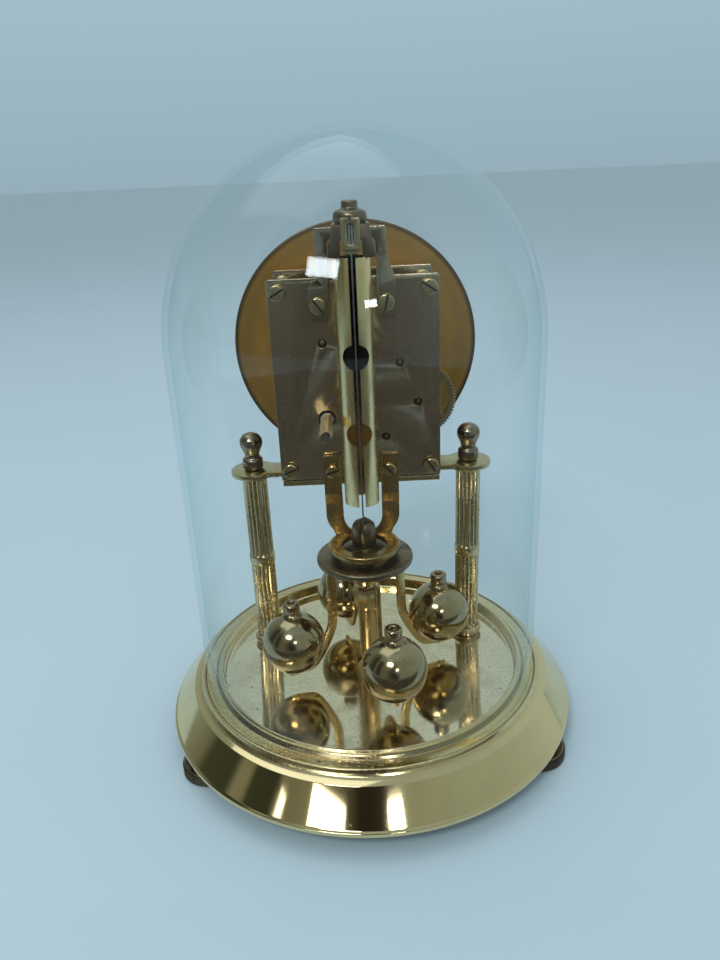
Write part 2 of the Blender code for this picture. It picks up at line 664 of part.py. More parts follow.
def make_pendulum():
    y = PENDULUM_Y
    axis = make_axis("pendulum_axis", (0, y, 0))
    knob = [(0, 82.0), (3.0, 82.0), (4.2, 80.6), (4.2, 72.4), (2.0, 71.8), (0, 71.8)]
    lower = turned("lower_block", knob, (0, y, 0), "dark_brass", axis, steps=20)
    slot = block("block_slot", (-5.0, y - 0.9, 73.6), (5.0, y + 0.9, 83.0), collection=CUTTERS)
    combine(lower, slot, "DIFFERENCE")
    disc = [
        (2.2, DISC_Z + 2.3), (16.6, DISC_Z + 2.3), (DISC_RADIUS, DISC_Z + 1.8),
        (DISC_RADIUS, DISC_Z + 0.4), (16.6, DISC_Z), (2.2, DISC_Z),
    ]
    rating = make_axis("rating_axis", (0, y, DISC_Z))
    turned("rating_disc", disc, (0, y, 0), "dark_brass", rating, steps=28)
    spindle = [
        (0, 71.5), (1.8, 71.5), (1.8, 65.9), (4.4, 65.9), (4.4, 58.0), (4.6, 55.5), (4.6, 48.6),
        (3.3, 48.0), (3.3, 25.6), (1.2, 24.6), (1.2, 21.0), (0, 20.7),
    ]
    turned("pendulum_spindle", spindle, (0, y, 0), "golden_brass", axis, steps=20)
    make_arms_and_balls(axis)


def make_arms_and_balls(axis):
    knob_radius = 3.1
    start = math.asin(knob_radius / BALL_RADIUS)
    bends = [start + (math.pi - start) * i / 8 for i in range(9)]
    ball = [(0, 16.4), (2.6, 16.4), (knob_radius, 15.9)]
    ball += [(BALL_RADIUS * math.sin(a), BALL_RADIUS * math.cos(a)) for a in bends]
    ball[-1] = (0, -BALL_RADIUS)
    strip = strip_outline(arm_outline(), 1.0)
    for index in range(4):
        angle = PENDULUM_TURN + math.radians(90 * index)
        x = BALL_ORBIT * math.cos(angle)
        y = PENDULUM_Y + BALL_ORBIT * math.sin(angle)
        turned(f"pendulum_ball_{index + 1}", ball, (x, y, BALL_Z), "polished_brass", axis, steps=16)
        lowered = [(px, pz - 6.2 * smooth(px)) for px, pz in strip]
        arm = flat(f"pendulum_arm_{index + 1}", lowered, 5.4, (0, PENDULUM_Y, 0), "golden_brass", axis)
        arm.rotation_euler.z = angle


def smooth(x):
    """0 up to the arm's straight part and 1 from there to its end, without a step."""
    part = min(max((x - 13.5) / 9.0, 0.0), 1.0)
    return part * part * (3 - 2 * part)


make_base()
make_feet()
make_dome()
make_columns()
make_platform()
make_plates()
make_train()
make_dial_and_hands()
make_suspension()
make_pendulum()
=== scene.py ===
import json
import math

import bmesh
import bpy
from mathutils import Matrix, Vector


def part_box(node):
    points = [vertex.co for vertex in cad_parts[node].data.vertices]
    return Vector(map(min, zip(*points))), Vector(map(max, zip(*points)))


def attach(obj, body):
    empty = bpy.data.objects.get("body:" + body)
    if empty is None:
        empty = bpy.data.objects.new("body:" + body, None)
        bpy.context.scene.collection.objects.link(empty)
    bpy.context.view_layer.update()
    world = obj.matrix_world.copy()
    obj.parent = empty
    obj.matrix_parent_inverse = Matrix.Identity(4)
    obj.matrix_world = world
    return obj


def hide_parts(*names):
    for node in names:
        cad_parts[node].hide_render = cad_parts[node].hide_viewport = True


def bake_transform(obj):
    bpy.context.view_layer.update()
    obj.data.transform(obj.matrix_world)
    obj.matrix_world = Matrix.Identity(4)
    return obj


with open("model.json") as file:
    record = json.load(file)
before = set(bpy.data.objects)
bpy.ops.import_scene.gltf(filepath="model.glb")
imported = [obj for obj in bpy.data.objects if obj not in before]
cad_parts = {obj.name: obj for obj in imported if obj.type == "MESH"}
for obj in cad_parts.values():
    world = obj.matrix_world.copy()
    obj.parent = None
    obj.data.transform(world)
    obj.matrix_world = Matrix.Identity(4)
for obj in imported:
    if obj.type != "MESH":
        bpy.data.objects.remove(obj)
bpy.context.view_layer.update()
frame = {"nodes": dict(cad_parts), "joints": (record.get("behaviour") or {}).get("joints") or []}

mm = 0.001
upright = Matrix.Rotation(math.radians(90), 4, "X")  # a shape drawn in XY stands up in XZ
toBack = Matrix.Rotation(math.radians(-90), 4, "X")  # the top of a turned shape points along +Y


def nodeBox(name):
    low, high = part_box(name)
    return low / mm, high / mm


def middle(name):
    low, high = nodeBox(name)
    return (low + high) / 2


# shader maths written as expressions

class Wire:
    def __init__(self, tree, socket):
        self.tree = tree
        self.socket = socket

    def node(self, kind, settings=None, inputs=None, output=0):
        made = self.tree.nodes.new(kind)
        for key, value in (settings or {}).items():
            if key == "stops":
                ramp = made.color_ramp.elements
                while len(ramp) < len(value):
                    ramp.new(0.5)
                for stop, (place, color) in zip(ramp, value):
                    stop.position = place
                    stop.color = (*color, 1.0)
            else:
                setattr(made, key, value)
        for key, value in (inputs or {}).items():
            if isinstance(value, Wire):
                self.tree.links.new(value.socket, made.inputs[key])
            else:
                made.inputs[key].default_value = value
        return Wire(self.tree, made.outputs[output] if made.outputs else None)

    def maths(self, operation, first, second=0.0):
        return self.node("ShaderNodeMath", {"operation": operation}, {0: first, 1: second})

    def __add__(self, other):
        return self.maths("ADD", self, other)

    def __sub__(self, other):
        return self.maths("SUBTRACT", self, other)

    def __rsub__(self, other):
        return self.maths("SUBTRACT", other, self)

    def __mul__(self, other):
        return self.maths("MULTIPLY", self, other)

    def __truediv__(self, other):
        return self.maths("DIVIDE", self, other)

    def __pow__(self, other):
        return self.maths("POWER", self, other)

    __radd__ = __add__
    __rmul__ = __mul__

    def between(self, low, high, soft):
        rise = self.node("ShaderNodeMapRange", {"clamp": True},
                         {"Value": self, "From Min": low - soft, "From Max": low + soft})
        fall = self.node("ShaderNodeMapRange", {"clamp": True},
                         {"Value": self, "From Min": high - soft, "From Max": high + soft})
        return rise * (1.0 - fall)

    def above(self, edge, soft):
        return self.node("ShaderNodeMapRange", {"clamp": True},
                         {"Value": self, "From Min": edge - soft, "From Max": edge + soft})

    def mixed(self, first, second):
        return self.node("ShaderNodeMix", {"data_type": "RGBA"}, {0: self, 6: first, 7: second}, 2)

    def noise(self, scale, detail=3.0, rough=0.55):
        return self.node("ShaderNodeTexNoise", None,
                         {"Vector": self, "Scale": scale, "Detail": detail, "Roughness": rough})

    def stretched(self, scale):
        return self.node("ShaderNodeMapping", {"vector_type": "POINT"}, {"Vector": self, "Scale": scale})


def newMaterial(name):
    material = bpy.data.materials.new(name)
    material.use_nodes = True
    tree = material.node_tree
    tree.nodes.clear()
    start = Wire(tree, None)
    place = start.node("ShaderNodeTexCoord", None, None, 3)  # Object coordinates
    return material, start, place


def finishMaterial(start, shader):
    start.node("ShaderNodeOutputMaterial", None, {"Surface": shader})


def rgb(color):
    return (*color, 1.0)


# what a metal has unless its own row says otherwise: patterns per metre, then their strength
metalValues = dict(cloudScale=60.0, fineScale=900.0, stainScale=140.0, pitScale=1500.0, pitEdge=0.74,
                   grain=(2500.0, 2500.0, 60.0), roughSpread=0.12, grainRough=0.10, grainHeight=0.15,
                   fineHeight=0.1, bump=0.12)


def metal(name, row):
    look = {**metalValues, **row}
    material, start, place = newMaterial(name)
    cloud = place.noise(look["cloudScale"], 4.0)
    fine = place.noise(look["fineScale"], 3.0)
    stain = place.noise(look["stainScale"], 5.0, 0.65).above(look["stainEdge"], 0.09)
    stain = stain * look["stain"]
    grain = place.stretched(look["grain"]).noise(1.0, 2.0)
    pits = place.noise(look["pitScale"], 2.0).above(look["pitEdge"], 0.02)
    color = cloud.above(0.5, 0.22).mixed(rgb(look["color"]), rgb(look["second"]))
    color = stain.mixed(color, rgb(look["stainColor"]))
    color = (pits * 0.8).mixed(color, rgb(look["pitColor"]))
    rough = look["rough"] + (cloud - 0.5) * look["roughSpread"] + stain * 0.22
    rough = rough + (grain - 0.5) * look["grainRough"] + pits * 0.3
    height = grain * look["grainHeight"] + fine * look["fineHeight"] - pits * 0.6
    bump = start.node("ShaderNodeBump", None,
                      {"Strength": look["bump"], "Distance": 0.0002, "Height": height})
    shader = start.node("ShaderNodeBsdfPrincipled", None,
                        {"Base Color": color, "Roughness": rough, "Metallic": 1.0, "Normal": bump})
    finishMaterial(start, shader)
    return material


def baseMetal(look):
    # polished base: mirror deck, stippled tarnish in the cove, a few pits in the skirt
    material, start, place = newMaterial("polishedBase")
    flat = place.node("ShaderNodeVectorMath", {"operation": "MULTIPLY"},
                      {0: place, 1: (1.0, 1.0, 0.0)})
    radius = flat.node("ShaderNodeVectorMath", {"operation": "LENGTH"}, {0: flat}, 1)
    deck = 1.0 - radius.above(look["deckRadius"] * mm, 0.0008)
    cove = radius.between(look["cove"][0] * mm, look["cove"][1] * mm, 0.0009)
    side = flat.node("ShaderNodeSeparateXYZ", None, {0: flat}).above(0.008, 0.045)
    blotch = place.noise(75.0, 5.0, 0.62).above(0.56, 0.12)
    speckle = place.noise(1100.0, 3.0, 0.7).above(0.60, 0.05)
    pits = place.noise(430.0, 1.0).above(0.79, 0.012)
    color = deck.mixed(rgb(look["skirt"]), rgb(look["deck"]))
    color = (blotch * (0.16 + deck * 0.34)).mixed(color, rgb(look["tarnish"]))
    worn = cove * (0.30 + side * 0.60)
    first, second = (radius.between(low * mm, high * mm, 0.0002) for low, high in look["grooves"])
    color = (worn * (0.35 + speckle * 0.6)).mixed(color, rgb(look["coveColor"]))
    color = ((first + second) * 0.7).mixed(color, rgb(look["groove"]))
    color = (speckle * deck * 0.35).mixed(color, rgb(look["speck"]))
    color = pits.mixed(color, rgb(look["speck"]))
    rough = 0.055 + blotch * (0.03 + deck * 0.10) + worn * (0.2 + speckle * 0.2) + pits * 0.4
    height = speckle * (worn * 0.8 + deck * 0.03) + place.noise(35.0, 2.0) * 0.5
    bump = start.node("ShaderNodeBump", None, {"Strength": 0.10, "Distance": 0.0003, "Height": height})
    shader = start.node("ShaderNodeBsdfPrincipled", None,
                        {"Base Color": color, "Roughness": rough, "Metallic": 1.0, "Normal": bump})
    finishMaterial(start, shader)
    return material


def dialMetal(look):
    # golden brown with turned rings, dark towards the rim; radii are taken about the dial's centre
    material, start, place = newMaterial("dialBack")
    spot = place.node("ShaderNodeMapping", {"vector_type": "POINT"},
                      {"Vector": place, "Location": (0.0, 0.0, -look["centre"] * mm)})
    flat = spot.node("ShaderNodeVectorMath", {"operation": "MULTIPLY"}, {0: spot, 1: (1.0, 0.0, 1.0)})
    radius = flat.node("ShaderNodeVectorMath", {"operation": "LENGTH"}, {0: flat}, 1)
    edge = radius.above(look["rim"] * mm, 0.0006)
    band = radius.above(look["band"] * mm, 0.002)
    rings = radius.maths("SINE", radius * 9000.0)
    blotch = place.noise(70.0, 5.0, 0.6).above(0.52, 0.16)
    color = blotch.mixed(rgb(look["gold"]), rgb(look["brown"]))
    color = (band * 0.45).mixed(color, rgb(look["dull"]))
    color = (edge * 0.85).mixed(color, rgb(look["dark"]))
    rough = 0.34 + blotch * 0.12 + edge * 0.1 + rings * 0.02
    bump = start.node("ShaderNodeBump", None,
                      {"Strength": 0.12, "Distance": 0.0001, "Height": rings + blotch})
    shader = start.node("ShaderNodeBsdfPrincipled", None,
                        {"Base Color": color, "Roughness": rough, "Metallic": 0.9, "Normal": bump})
    finishMaterial(start, shader)
    return material


def paint(name, color, second, rough):
    material, start, place = newMaterial(name)
    cloud = place.noise(120.0, 4.0)
    fine = place.noise(1800.0, 2.0)
    shade = cloud.above(0.5, 0.25).mixed(rgb(color), rgb(second))
    bump = start.node("ShaderNodeBump", None, {"Strength": 0.06, "Distance": 0.0001, "Height": fine})
    shader = start.node("ShaderNodeBsdfPrincipled", None,
                        {"Base Color": shade, "Roughness": rough + cloud * 0.15, "Normal": bump})
    finishMaterial(start, shader)
    return material


def boreLook(look):
    # inside of the guard tube: dark above, amber where light gets in at the lower window
    material, start, place = newMaterial("tubeBore")
    height = place.node("ShaderNodeSeparateXYZ", None, {0: place}, 2)
    cloud = place.noise(300.0, 3.0)
    part = (height + (cloud - 0.5) * 0.01).above(look["split"] * mm, 0.006)
    color = part.mixed(rgb(look["amber"]), rgb(look["dark"]))
    shader = start.node("ShaderNodeBsdfPrincipled", None,
                        {"Base Color": color, "Roughness": 0.45 + cloud * 0.2})
    finishMaterial(start, shader)
    return material


def glassLook(look):
    # thin blown glass: mostly see-through, greener where the wall is seen at a slant
    material, start, place = newMaterial("domeGlass")
    slant = start.node("ShaderNodeLayerWeight", None, {"Blend": 0.5}, 1)
    # the mirrored share rises steeply towards a glancing angle, alike on both faces of the wall
    mirror = (slant ** 5.0) * 0.96 + 0.04
    streak = place.stretched((60.0, 60.0, 14.0)).noise(1.0, 4.0, 0.6).above(0.56, 0.1)
    clear = start.node("ShaderNodeBsdfTransparent", None, {"Color": rgb(look["clear"])})
    green = start.node("ShaderNodeBsdfTransparent", None, {"Color": rgb(look["green"])})
    gloss = start.node("ShaderNodeBsdfGlossy", None, {"Color": rgb(look["gloss"]), "Roughness": 0.01})
    through = start.node("ShaderNodeMixShader", None, {0: slant ** look["edgePower"], 1: clear, 2: green})
    whole = start.node("ShaderNodeMixShader", None,
                       {0: mirror * look["mirror"] + streak * look["haze"], 1: through, 2: gloss})
    finishMaterial(start, whole)
    return material


finishes = {
    "palePlate": dict(color=(0.66, 0.55, 0.40), second=(0.48, 0.39, 0.27), rough=0.20, stain=0.5,
                      stainEdge=0.60, stainColor=(0.26, 0.22, 0.16), pitColor=(0.08, 0.07, 0.05),
                      cloudScale=45.0, grain=(1600.0, 1600.0, 40.0), bump=0.10),
    "satinBrass": dict(color=(0.62, 0.53, 0.31), second=(0.52, 0.43, 0.23), rough=0.27, stain=0.4,
                       stainEdge=0.60, stainColor=(0.30, 0.25, 0.15), pitColor=(0.10, 0.08, 0.05)),
    "columnBrass": dict(color=(0.70, 0.60, 0.37), second=(0.58, 0.48, 0.29), rough=0.24, stain=0.3,
                        stainEdge=0.56, stainColor=(0.27, 0.22, 0.14), pitColor=(0.10, 0.08, 0.05),
                        stainScale=320.0, grain=(900.0, 900.0, 400.0), bump=0.05),
    "goldenBrass": dict(color=(0.70, 0.53, 0.26), second=(0.58, 0.44, 0.22), rough=0.20, stain=0.45,
                        stainEdge=0.60, stainColor=(0.34, 0.24, 0.11), pitColor=(0.12, 0.09, 0.04)),
    "ballBrass": dict(color=(0.46, 0.38, 0.22), second=(0.38, 0.31, 0.18), rough=0.15, stain=0.5,
                      stainEdge=0.62, stainColor=(0.33, 0.28, 0.18), pitColor=(0.14, 0.11, 0.07),
                      stainScale=260.0, roughSpread=0.05, grainRough=0.02, bump=0.04, pitEdge=0.72),
    "darkBrass": dict(color=(0.27, 0.22, 0.14), second=(0.20, 0.16, 0.11), rough=0.32, stain=0.6,
                      stainEdge=0.55, stainColor=(0.12, 0.10, 0.07), pitColor=(0.05, 0.04, 0.03),
                      bump=0.30),
    "knobBrass": dict(color=(0.42, 0.33, 0.20), second=(0.32, 0.25, 0.15), rough=0.20, stain=0.5,
                      stainEdge=0.56, stainColor=(0.18, 0.14, 0.09), pitColor=(0.07, 0.05, 0.03)),
    "finialBrass": dict(color=(0.40, 0.34, 0.24), second=(0.28, 0.23, 0.17), rough=0.24, stain=0.6,
                        stainEdge=0.54, stainColor=(0.14, 0.12, 0.09), pitColor=(0.06, 0.05, 0.04),
                        fineScale=650.0, fineHeight=0.9, bump=0.35),
    "tubeBrass": dict(color=(0.90, 0.74, 0.40), second=(0.78, 0.63, 0.33), rough=0.27, stain=0.3,
                      stainEdge=0.60, stainColor=(0.36, 0.29, 0.17), pitColor=(0.12, 0.09, 0.05)),
    "guideBrass": dict(color=(0.56, 0.40, 0.17), second=(0.42, 0.30, 0.13), rough=0.27, stain=0.55,
                       stainEdge=0.55, stainColor=(0.22, 0.16, 0.08), pitColor=(0.08, 0.06, 0.03),
                       stainScale=500.0, fineHeight=0.5, bump=0.16),
    "squareBrass": dict(color=(1.0, 0.86, 0.55), second=(0.92, 0.76, 0.46), rough=0.48, stain=0.2,
                        stainEdge=0.62, stainColor=(0.4, 0.32, 0.18), pitColor=(0.14, 0.11, 0.07)),
    "bracketBrass": dict(color=(0.52, 0.44, 0.31), second=(0.38, 0.32, 0.22), rough=0.17, stain=0.5,
                         stainEdge=0.58, stainColor=(0.20, 0.16, 0.11), pitColor=(0.07, 0.06, 0.04)),
    "wheelBrass": dict(color=(0.55, 0.46, 0.26), second=(0.42, 0.35, 0.21), rough=0.30, stain=0.5,
                       stainEdge=0.58, stainColor=(0.22, 0.18, 0.11), pitColor=(0.08, 0.07, 0.05)),
    "steel": dict(color=(0.52, 0.52, 0.51), second=(0.42, 0.42, 0.42), rough=0.22, stain=0.4,
                  stainEdge=0.60, stainColor=(0.20, 0.18, 0.16), pitColor=(0.08, 0.07, 0.07)),
    "darkSteel": dict(color=(0.20, 0.20, 0.20), second=(0.13, 0.13, 0.13), rough=0.33, stain=0.4,
                      stainEdge=0.58, stainColor=(0.09, 0.08, 0.07), pitColor=(0.04, 0.04, 0.04)),
    "bluedSteel": dict(color=(0.04, 0.06, 0.13), second=(0.03, 0.04, 0.08), rough=0.25, stain=0.3,
                       stainEdge=0.62, stainColor=(0.06, 0.05, 0.05), pitColor=(0.02, 0.02, 0.02)),
}
looks = {name: metal(name, row) for name, row in finishes.items()}
looks["base"] = baseMetal(dict(deckRadius=54.6, cove=(55.6, 64.4), grooves=((57.1, 58.3), (61.7, 62.4)),
                               skirt=(0.80, 0.66, 0.36), deck=(0.86, 0.74, 0.49),
                               tarnish=(0.52, 0.41, 0.23), coveColor=(0.36, 0.27, 0.12),
                               groove=(0.20, 0.15, 0.07), speck=(0.07, 0.055, 0.03)))
looks["dialBack"] = dialMetal(dict(centre=middle("dial").z, rim=42.9, band=37.0,
                                   gold=(0.86, 0.48, 0.11), brown=(0.62, 0.36, 0.09),
                                   dull=(0.36, 0.25, 0.11), dark=(0.07, 0.06, 0.05)))
looks["bore"] = boreLook(dict(split=125.0, amber=(0.30, 0.16, 0.035), dark=(0.022, 0.015, 0.010)))
looks["cream"] = paint("cream", (0.80, 0.77, 0.68), (0.74, 0.70, 0.60), 0.35)
looks["black"] = paint("black", (0.02, 0.02, 0.02), (0.035, 0.03, 0.03), 0.3)
# painted shade: a near-black paint for the bottoms of the screw slots
looks["dark"] = paint("paintedSlotShade", (0.012, 0.010, 0.008), (0.02, 0.016, 0.012), 0.6)
looks["glass"] = glassLook(dict(edgePower=3.0, clear=(0.99, 0.997, 0.995), haze=0.006,
                                green=(0.88, 0.93, 0.93), gloss=(0.92, 0.97, 1.0), mirror=0.5))
print("finishes made")


# shape helpers, all in millimetres until a piece is made

def arc(x, y, radius, start, end, count):
    steps = [math.radians(start + (end - start) * i / count) for i in range(count + 1)]
    return [(x + radius * math.cos(a), y + radius * math.sin(a)) for a in steps]


def ring(radius, count=48, x=0.0, y=0.0):
    return arc(x, y, radius, 0, 360, count)[:-1]


def soften(points, radius=0.25, count=3, closed=False):
    # rounds each corner of a profile with a short curve
    made = []
    last = len(points) - 1
    for i, here in enumerate(points):
        here = Vector(here)
        if not closed and i in (0, last):
            made.append(tuple(here))
            continue
        before = Vector(points[i - 1]) - here
        after = Vector(points[(i + 1) % len(points)]) - here
        reach = min(radius, before.length * 0.42, after.length * 0.42)
        a = here + before.normalized() * reach
        b = here + after.normalized() * reach
        for k in range(count + 1):
            t = k / count
            made.append(tuple(a * (1 - t) ** 2 + here * 2 * t * (1 - t) + b * t ** 2))
    return made


def lathe(profile, steps=64, wave=None, closed=False):
    # turns (radius, height) points about Z; wave(angle, radius, height) gives the radius that is used
    shape = bmesh.new()
    rows = []
    for radius, height in profile:
        if radius < 1e-6:
            rows.append([shape.verts.new((0, 0, height))])
            continue
        row = []
        for i in range(steps):
            angle = 2 * math.pi * i / steps
            used = wave(angle, radius, height) if wave else radius
            row.append(shape.verts.new((used * math.cos(angle), used * math.sin(angle), height)))
        rows.append(row)
    pairs = list(zip(rows, rows[1:])) + ([(rows[-1], rows[0])] if closed else [])
    for upper, lower in pairs:
        for i in range(steps):
            j = (i + 1) % steps
            corners = [upper[i % len(upper)], upper[j % len(upper)],
                       lower[j % len(lower)], lower[i % len(lower)]]
            corners = list(dict.fromkeys(corners))
            if len(corners) > 2:
                shape.faces.new(corners)
    bmesh.ops.recalc_face_normals(shape, faces=shape.faces)
    return shape


def plate(outline, thick, holes=(), bevel=0.2):
    # a flat piece with rounded edges, drawn in XY and centred on z = 0
    curve = bpy.data.curves.new("outline", "CURVE")
    curve.dimensions = "2D"
    curve.fill_mode = "BOTH"
    curve.extrude = thick / 2 - bevel
    curve.bevel_depth = bevel
    curve.bevel_resolution = 1
    curve.offset = -bevel
    for points in (outline, *holes):
        spline = curve.splines.new("POLY")
        spline.points.add(len(points) - 1)
        for point, (x, y) in zip(spline.points, points):
            point.co = (x, y, 0.0, 1.0)
        spline.use_cyclic_u = True
    drawn = bpy.data.objects.new("outline", curve)
    bpy.context.scene.collection.objects.link(drawn)
    mesh = bpy.data.meshes.new_from_object(drawn.evaluated_get(bpy.context.evaluated_depsgraph_get()))
    bpy.data.objects.remove(drawn, do_unlink=True)
    bpy.data.curves.remove(curve)
    shape = bmesh.new()
    shape.from_mesh(mesh)
    bpy.data.meshes.remove(mesh)
    bmesh.ops.remove_doubles(shape, verts=shape.verts, dist=1e-4)
    bmesh.ops.recalc_face_normals(shape, faces=shape.faces)
    return shape


def box(low, high, bevel=0.15):
    low, high = Vector(low), Vector(high)
    shape = bmesh.new()
    bmesh.ops.create_cube(shape, size=1.0)
    for vertex in shape.verts:
        vertex.co = Vector(c * s for c, s in zip(vertex.co, high - low)) + (low + high) / 2
    if bevel:
        bmesh.ops.bevel(shape, geom=shape.edges[:], offset=bevel, segments=2, affect="EDGES")
    return shape


def moved(shape, at=(0, 0, 0), turn=None):
    matrix = Matrix.Translation(Vector(at))
    if turn is not None:
        matrix = matrix @ turn
    bmesh.ops.transform(shape, matrix=matrix, verts=shape.verts)
    return shape


def joined(*shapes):
    whole = shapes[0]
    for other in shapes[1:]:
        mesh = bpy.data.meshes.new("part")
        other.to_mesh(mesh)
        other.free()
        whole.from_mesh(mesh)
        bpy.data.meshes.remove(mesh)
    return whole


def toMesh(name, shape):
    mesh = bpy.data.meshes.new(name)
    bmesh.ops.scale(shape, vec=(mm, mm, mm), verts=shape.verts)
    shape.to_mesh(mesh)
    shape.free()
    return mesh


def sceneObject(name, mesh):
    obj = bpy.data.objects.new(name, mesh)
    bpy.context.scene.collection.objects.link(obj)
    return obj


def settle(obj, look, body, nodes=(), angle=38.0):
    # last step of every piece: finish, smooth faces, body, and the nodes it stands for
    obj.data.materials.clear()
    obj.data.materials.append(looks[look])
    obj.data.shade_smooth()
    obj.data.set_sharp_from_angle(angle=math.radians(angle))
    if body:
        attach(obj, body)
    if nodes:
        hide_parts(*nodes)
    return obj


def piece(name, shape, look, body="root", nodes=(), angle=38.0):
    return settle(sceneObject(name, toMesh(name, shape)), look, body, nodes, angle)


def cut(shape, *cutters):
    # takes cutters out of a shape with exact booleans
    target = sceneObject("cutTarget", toMesh("cutTarget", shape))
    others = [sceneObject("cutter", toMesh("cutter", cutter)) for cutter in cutters]
    for other in others:
        boolean = target.modifiers.new("cut", "BOOLEAN")
        boolean.operation = "DIFFERENCE"
        boolean.solver = "EXACT"
        boolean.object = other
    mesh = bpy.data.meshes.new_from_object(target.evaluated_get(bpy.context.evaluated_depsgraph_get()))
    for obj in (target, *others):
        bpy.data.objects.remove(obj, do_unlink=True)
    result = bmesh.new()
    result.from_mesh(mesh)
    bpy.data.meshes.remove(mesh)
    bmesh.ops.scale(result, vec=(1 / mm, 1 / mm, 1 / mm), verts=result.verts)
    return result


# Geometry Nodes: one tree repeats a part round a ring, one repeats it on marked points

def newTree(name, sockets):
    tree = bpy.data.node_groups.new(name, "GeometryNodeTree")
    for label, kind in sockets:
        tree.interface.new_socket(label, in_out="INPUT", socket_type=kind)
    tree.interface.new_socket("Geometry", in_out="OUTPUT", socket_type="NodeSocketGeometry")
    return tree


def treeNode(tree, kind, settings=None, links=None):
    made = tree.nodes.new(kind)
    for key, value in (settings or {}).items():
        setattr(made, key, value)
    for key, value in (links or {}).items():
        if isinstance(value, bpy.types.NodeSocket):
            tree.links.new(value, made.inputs[key])
        else:
            made.inputs[key].default_value = value
    return made


def endTree(tree, geometry, material):
    real = treeNode(tree, "GeometryNodeRealizeInstances", None, {0: geometry})
    painted = treeNode(tree, "GeometryNodeSetMaterial", None, {0: real.outputs[0], "Material": material})
    end = tree.nodes.new("NodeGroupOutput")
    tree.links.new(painted.outputs[0], end.inputs[0])


def makeRingTree():
    tree = newTree("partsRoundARing", [
        ("Geometry", "NodeSocketGeometry"), ("Part", "NodeSocketObject"), ("Count", "NodeSocketInt"),
        ("Radius", "NodeSocketFloat"), ("Start Angle", "NodeSocketFloat"),
        ("Material", "NodeSocketMaterial")])
    given = tree.nodes.new("NodeGroupInput").outputs
    circle = treeNode(tree, "GeometryNodeMeshCircle", None,
                      {"Vertices": given["Count"], "Radius": given["Radius"]})
    index = treeNode(tree, "GeometryNodeInputIndex")
    part = treeNode(tree, "ShaderNodeMath", {"operation": "DIVIDE"},
                    {0: index.outputs[0], 1: given["Count"]})
    angle = treeNode(tree, "ShaderNodeMath", {"operation": "MULTIPLY"},
                     {0: part.outputs[0], 1: 2 * math.pi})
    turn = treeNode(tree, "ShaderNodeCombineXYZ", None, {2: angle.outputs[0]})
    source = treeNode(tree, "GeometryNodeObjectInfo", None, {0: given["Part"]})
    copies = treeNode(tree, "GeometryNodeInstanceOnPoints", None,
                      {"Points": circle.outputs[0], "Instance": source.outputs["Geometry"],
                       "Rotation": turn.outputs[0]})
    spin = treeNode(tree, "ShaderNodeCombineXYZ", None, {2: given["Start Angle"]})
    turned = treeNode(tree, "GeometryNodeTransform", None,
                      {0: copies.outputs[0], "Rotation": spin.outputs[0]})
    endTree(tree, turned.outputs[0], given["Material"])
    return tree


def makeSpotTree():
    tree = newTree("partsOnPoints", [
        ("Geometry", "NodeSocketGeometry"), ("Part", "NodeSocketObject"),
        ("Seed", "NodeSocketInt"), ("Most Turn", "NodeSocketFloat"),
        ("Material", "NodeSocketMaterial")])
    given = tree.nodes.new("NodeGroupInput").outputs
    amount = treeNode(tree, "FunctionNodeRandomValue", {"data_type": "FLOAT"},
                      {2: 0.0, 3: given["Most Turn"], "Seed": given["Seed"]})
    turn = treeNode(tree, "ShaderNodeCombineXYZ", None, {1: amount.outputs[1]})
    source = treeNode(tree, "GeometryNodeObjectInfo", None, {0: given["Part"]})
    copies = treeNode(tree, "GeometryNodeInstanceOnPoints", None,
                      {"Points": given["Geometry"], "Instance": source.outputs["Geometry"],
                       "Rotation": turn.outputs[0]})
    endTree(tree, copies.outputs[0], given["Material"])
    return tree


ringTree = makeRingTree()
spotTree = makeSpotTree()


def grow(name, tree, start, values):
    # runs a tree on a start mesh and hands back its result as a plain mesh
    host = sceneObject(name, start)
    modifier = host.modifiers.new("grow", "NODES")
    modifier.node_group = tree
    for item in tree.interface.items_tree:
        if item.in_out == "INPUT" and item.name in values:
            modifier[item.identifier] = values[item.name]
    host.update_tag()
    mesh = bpy.data.meshes.new_from_object(host.evaluated_get(bpy.context.evaluated_depsgraph_get()))
    host.modifiers.clear()
    bpy.data.objects.remove(host, do_unlink=True)
    bpy.data.objects.remove(values["Part"], do_unlink=True)
    return mesh


def backToShape(mesh):
    shape = bmesh.new()
    shape.from_mesh(mesh)
    bmesh.ops.scale(shape, vec=(1 / mm, 1 / mm, 1 / mm), verts=shape.verts)
    return shape


def aroundRing(part, count, radius, look, startAngle=0.0):
    source = sceneObject("ringPart", toMesh("ringPart", part))
    values = {"Part": source, "Count": count, "Radius": radius * mm, "Start Angle": startAngle,
              "Material": looks[look]}
    return backToShape(grow("ringHost", ringTree, bpy.data.meshes.new("ringStart"), values))


def onSpots(part, spots, look, seed=1, mostTurn=0.0):
    source = sceneObject("spotPart", toMesh("spotPart", part))
    points = bpy.data.meshes.new("spots")
    points.from_pydata([Vector(spot) * mm for spot in spots], [], [])
    values = {"Part": source, "Seed": seed, "Most Turn": mostTurn, "Material": looks[look]}
    return backToShape(grow("spotHost", spotTree, points, values))


print("helpers ready")


# base and feet

baseValues = dict(steps=256, edge=0.16, deck=20.0)


